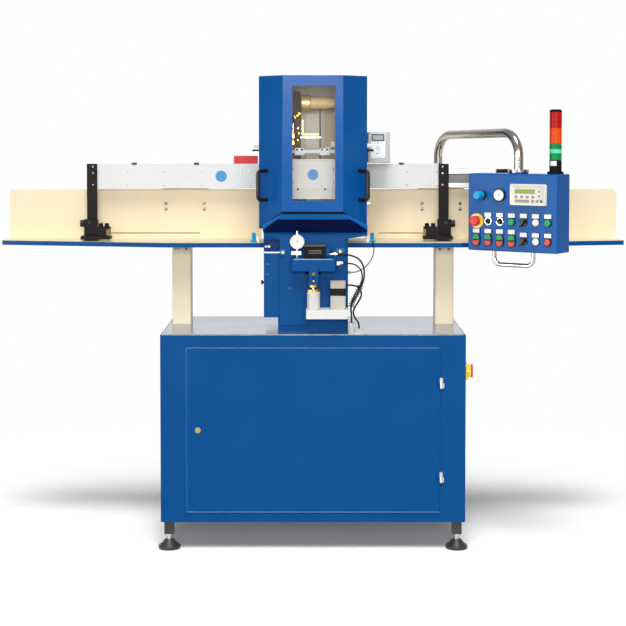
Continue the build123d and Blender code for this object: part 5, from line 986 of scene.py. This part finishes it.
# Finish of each carried-over node
plainNodes = {
    "powderCoatBlue": ("cabinet_shell", "cabinet_door", "column"),
    "powderCoatHammer": ("hood",),
    "powderCoatPendant": ("pendant_box",),
    "powderCoatCream": ("posts", "back_panels"),
    "powderCoatWhite": ("cover_right", "inner_guard"),
    "powderCoatGrey": ("head_plate",),
    "stainlessSheet": ("cabinet_top_plate",),
    "stainlessTube": ("carrying_tube",),
    "zincCasting": ("dial_gauge",),
    "bronzeLight": ("door_lock",),
    "steelPolished": ("panel_bolts",),
    "steelGround": ("work_rest", "infeed_screw"),
    "mouldedBlack": ("hood_handles", "clamp_screw_left", "clamp_screw_right", "key_switch", "selector_1",
        "selector_2", "selector_3", "pendant_fittings"),
    "mouldedGrey": ("control_modules", "inverter"),
    "mouldedCream": ("spindle_motor",),
    "rubberBlack": ("hood_seal",),
    "capYellow": ("main_switch_base",),
    "capScarlet": ("emergency_stop",),
    "capRed": ("red_button",),
    "capGreen": ("green_button_1", "green_button_2"),
    "capCyan": ("regulator_knob", "sensors"),
    "cablePvc": ("feed_cables",),
}
for finish, names in plainNodes.items():
    for nodeName in names:
        dress(nodeName, finishOf(finish))
dress("hood_window", windowMaterial())


def between(low, high, finish):
    # zone of all that lies between two heights, in mm
    return (-9, -9, low * mm), (9, 9, high * mm), finish


# Nodes with more than one finish: the base, then the zones laid over it
hingeBare = ((0.5055, -9, 0), (0.5225, 9, 9), "zincCasting")
wheelSides = [((-9, -9, 1), (-0.041, 9, 2), "steelGround"), ((0.041, -9, 1), (9, 9, 2), "steelGround")]
zonedNodes = {
    "door_hinge_leaves": ("powderCoatBlue", [hingeBare]),
    "door_hinge_posts": ("powderCoatBlue", [hingeBare]),
    "main_switch_handle": ("capYellow", [((0.6355, -9, 0), (9, 9, 9), "capRed")]),
    "trays": ("powderCoatBlue", [between(1217.5, 1300, "powderCoatCream")]),
    "levelling_feet": ("castBlack", [between(36, 60, "zincCasting")]),
    "cover_left": ("powderCoatWhite", [between(1539.2, 1600, "paintRed")]),
    "arm_left": ("anodisedBlack", [((-0.86, 0.03, 1.24), (-0.2, 0.08, 1.27), "bronzeDark")]),
    "arm_right": ("anodisedBlack", [((0.2, 0.03, 1.24), (0.47, 0.08, 1.27), "bronzeDark")]),
    "linear_axes": ("anodisedClear", [((-9, 0.2195, 1.456), (9, 0.2405, 1.497), "guideSteel")]),
    "infeed_slide": ("powderCoatBlue", [between(1000, 1067.2, "brassTurned"),
        between(1170.2, 1250, "steelGround")]),
    "infeed_housing": ("powderCoatWhite", [between(970.2, 1040, "apronGrey"),
        between(1040, 1100, "brassTurned")]),
    "feed_motors": ("anodisedBlack", [between(970, 1025.8, "keyGrey"), between(1055.2, 1090, "castGrey"),
        between(1170, 1300, "mouldedBlack")]),
    # funnel under the hood in near-black navy: painted shade
    "column_front_plate": ("powderCoatBlue", [between(1271, 1500, "powderCoatShadeNavy")]),
    "cable_connectors": ("mouldedGrey", [((0.04, -0.3, 1.13), (0.13, -0.19, 1.2), "zincCasting")]),
    "dresser": ("castBeige", [((-9, 0.138, 1.4), (9, 0.3, 2), "powderCoatGrey"),
        ((-0.2, -0.2, 1.7), (-0.0098, 0.1, 1.9), "brassSatin")]),
    "grinding_wheel": ("corundumGrit", wheelSides),
    "regulating_wheel": ("rubberBond", wheelSides),
    # lighter band in the green lens: a painted highlight
    "signal_tower": ("rubberBlack", [between(1563, 1626, "lensGreen"), between(1590, 1606, "lensGreenHighlight"),
        between(1626, 1689, "lensOrange"), between(1689, 1752, "lensRed")]),
}
for nodeName, (base, zones) in zonedNodes.items():
    dress(nodeName, finishMaterial(base + "." + nodeName, base, zones))
doubleFinish = finishMaterial("capGreen.double", "capGreen",
    [between(1100, 1239, "capCoral"), between(1239, 1245, "mouldedBlack")])
for index in range(1, 5):
    dress("double_button_" + str(index), doubleFinish)
print("nodes dressed")


# Floor: white to the eye, darker to bounced light so that undersides stay dark
floorLook = dict(half=30.0, level=-0.0005, shade="#c5c5c5", bounce="#8a8a8a", lift=0.10, fade=(1.3, 2.6))
white = (1, 1, 1, 1)
floorMesh = bpy.data.meshes.new("studioFloor")
floorMesh.from_pydata([(x * floorLook["half"], y * floorLook["half"], floorLook["level"])
    for x, y in ((-1, -1), (1, -1), (1, 1), (-1, 1))], [], [(0, 1, 2, 3)])
floorMaterial = bpy.data.materials.new("paintedScreed")
tree = emptyTree(floorMaterial)
rays = addNode(tree, "LightPath").outputs
colour = addNode(tree, "Mix", {0: rays["Is Diffuse Ray"], 6: linear(floorLook["shade"]),
    7: linear(floorLook["bounce"])}, data_type="RGBA")
screed = addNode(tree, "BsdfDiffuse", {"Color": colour.outputs[2]})
seen = addNode(tree, "Math", {0: rays["Is Camera Ray"], 1: rays["Is Glossy Ray"]}, operation="MAXIMUM")
seen = addNode(tree, "Math", {0: seen, 1: rays["Is Transmission Ray"]}, operation="MAXIMUM")
lift = addNode(tree, "Math", {0: seen, 1: floorLook["lift"]}, operation="MULTIPLY")
glow = addNode(tree, "Emission", {"Color": white, "Strength": lift})
shader = addNode(tree, "AddShader", {0: screed, 1: glow})
# further out the floor turns as white as the world, so that no horizon shows
away = addNode(tree, "VectorMath", {0: addNode(tree, "TexCoord").outputs["Object"], 1: (0.75, 1.0, 0.0)},
    operation="MULTIPLY")
away = addNode(tree, "VectorMath", {0: away}, operation="LENGTH")
fade = addNode(tree, "MapRange", {"Value": away.outputs["Value"], "From Min": floorLook["fade"][0],
    "From Max": floorLook["fade"][1]}, interpolation_type="SMOOTHSTEP")
fade = addNode(tree, "Math", {0: fade, 1: seen}, operation="MULTIPLY")
shader = addNode(tree, "MixShader", {0: fade, 1: shader, 2: addNode(tree, "Emission",
    {"Color": white, "Strength": 1.0})})
addNode(tree, "OutputMaterial", {0: shader})
floorMesh.materials.append(floorMaterial)
studioFloor = bpy.data.objects.new("studioFloor", floorMesh)
scene.collection.objects.link(studioFloor)

# World: white to the eye, in glass and as metal's backdrop, greyer behind the camera, soft as light
worldLook = dict(light=0.25, hall=0.35, turnsWhite=(0.45, 0.9))
world = bpy.data.worlds.new("studio")
scene.world = world
tree = emptyTree(world)
rays = addNode(tree, "LightPath").outputs
seen = addNode(tree, "Math", {0: rays["Is Camera Ray"], 1: rays["Is Transmission Ray"]}, operation="MAXIMUM")
heading = addNode(tree, "SeparateXYZ", {0: addNode(tree, "TexCoord").outputs["Generated"]})
mirrored = addNode(tree, "MapRange", {"Value": heading.outputs[1], "From Min": worldLook["turnsWhite"][0],
    "From Max": worldLook["turnsWhite"][1], "To Min": worldLook["hall"], "To Max": 1.0})
strength = addNode(tree, "Mix", {0: rays["Is Glossy Ray"], 2: worldLook["light"], 3: mirrored})
strength = addNode(tree, "Mix", {0: seen, 2: strength, 3: 1.0})
addNode(tree, "OutputWorld", {0: addNode(tree, "Background", {"Color": white, "Strength": strength})})

# What a lamp may be held to: the floor, what stands behind the window, or the whole machine
floorOnly, insideOnly, machineOnly = [bpy.data.collections.new(name)
    for name in ("floorOnly", "insideOnly", "machineOnly")]
floorOnly.objects.link(studioFloor)
for insideName in ("head_plate", "dresser", "inner_guard", "grinding_wheel", "spindle_motor", "work_rest"):
    insideOnly.objects.link(nodes[insideName])
for insideName in ("guardPlate", "guardApron", "guardDisc", "guardHoleShadeAndScrews", "clampHoleShade", "dresserRail",
        "dresserSlot", "coolantPipe", "pipeNuts", "pipeFittings", "wayStrip", "wayPlate", "wayFrame",
        "wayBlocks"):
    insideOnly.objects.link(bpy.data.objects[insideName])
for item in scene.objects:
    if item.type in ("MESH", "CURVE") and item is not studioFloor:
        machineOnly.objects.link(item)


def addLamp(name, kind, turn, only, place=(0, 0, 0), **settings):
    # one lamp, turned in degrees and held to a collection or to nothing
    lamp = bpy.data.lights.new(name, kind)
    for key, value in settings.items():
        setattr(lamp, key, value)
    lampObject = bpy.data.objects.new(name, lamp)
    lampObject.location = place
    lampObject.rotation_euler = [radians(angle) for angle in turn]
    lampObject.light_linking.receiver_collection = only
    scene.collection.objects.link(lampObject)
    return lampObject


# Suns: a soft one from above for everything, and one for the floor alone that draws the shadow
addLamp("key", "SUN", (26, 0, 0), None, energy=2.1, angle=radians(30))
addLamp("floorSun", "SUN", (20, 0, 0), floorOnly, energy=2.5, angle=radians(16))

# Panels: a broad one from the front gives the light, a weaker one reaches the machine's back, a small one
# lights what stands behind the window, and two others give only the satin sheen of hood and pendant
panelLamps = {
    "frontPanel": dict(place=(0.0, -9.5, 2.9), turn=(81, 0, 0), size=(6.0, 3.0), power=460,
        gives=(True, False)),
    "windowFill": dict(place=(0.0, -6.0, 1.75), turn=(88.5, 0, 0), size=(1.2, 1.2), power=128,
        gives=(True, True), only=insideOnly),
    "backPanel": dict(place=(0.0, 7.0, 2.8), turn=(80, 0, 180), size=(6.0, 3.0), power=260,
        gives=(True, False), only=machineOnly),
    "hoodSheen": dict(place=(0.0, -9.5, 3.55), turn=(80, 0, 0), size=(5.0, 2.4), power=800,
        gives=(False, True)),
    "pendantSheen": dict(place=(-5.3, -3.6, 1.1), turn=(90, 0, -61), size=(3.0, 2.2), power=260,
        gives=(False, True)),
}
for lampName, look in panelLamps.items():
    width, height = look["size"]
    panel = addLamp(lampName, "AREA", look["turn"], look.get("only"), look["place"], shape="RECTANGLE",
        size=width, size_y=height, energy=look["power"])
    panel.visible_diffuse, panel.visible_glossy = look["gives"]  # light, then reflection
    panel.visible_camera = False

scene.view_settings.view_transform = "Standard"
print("stage set")
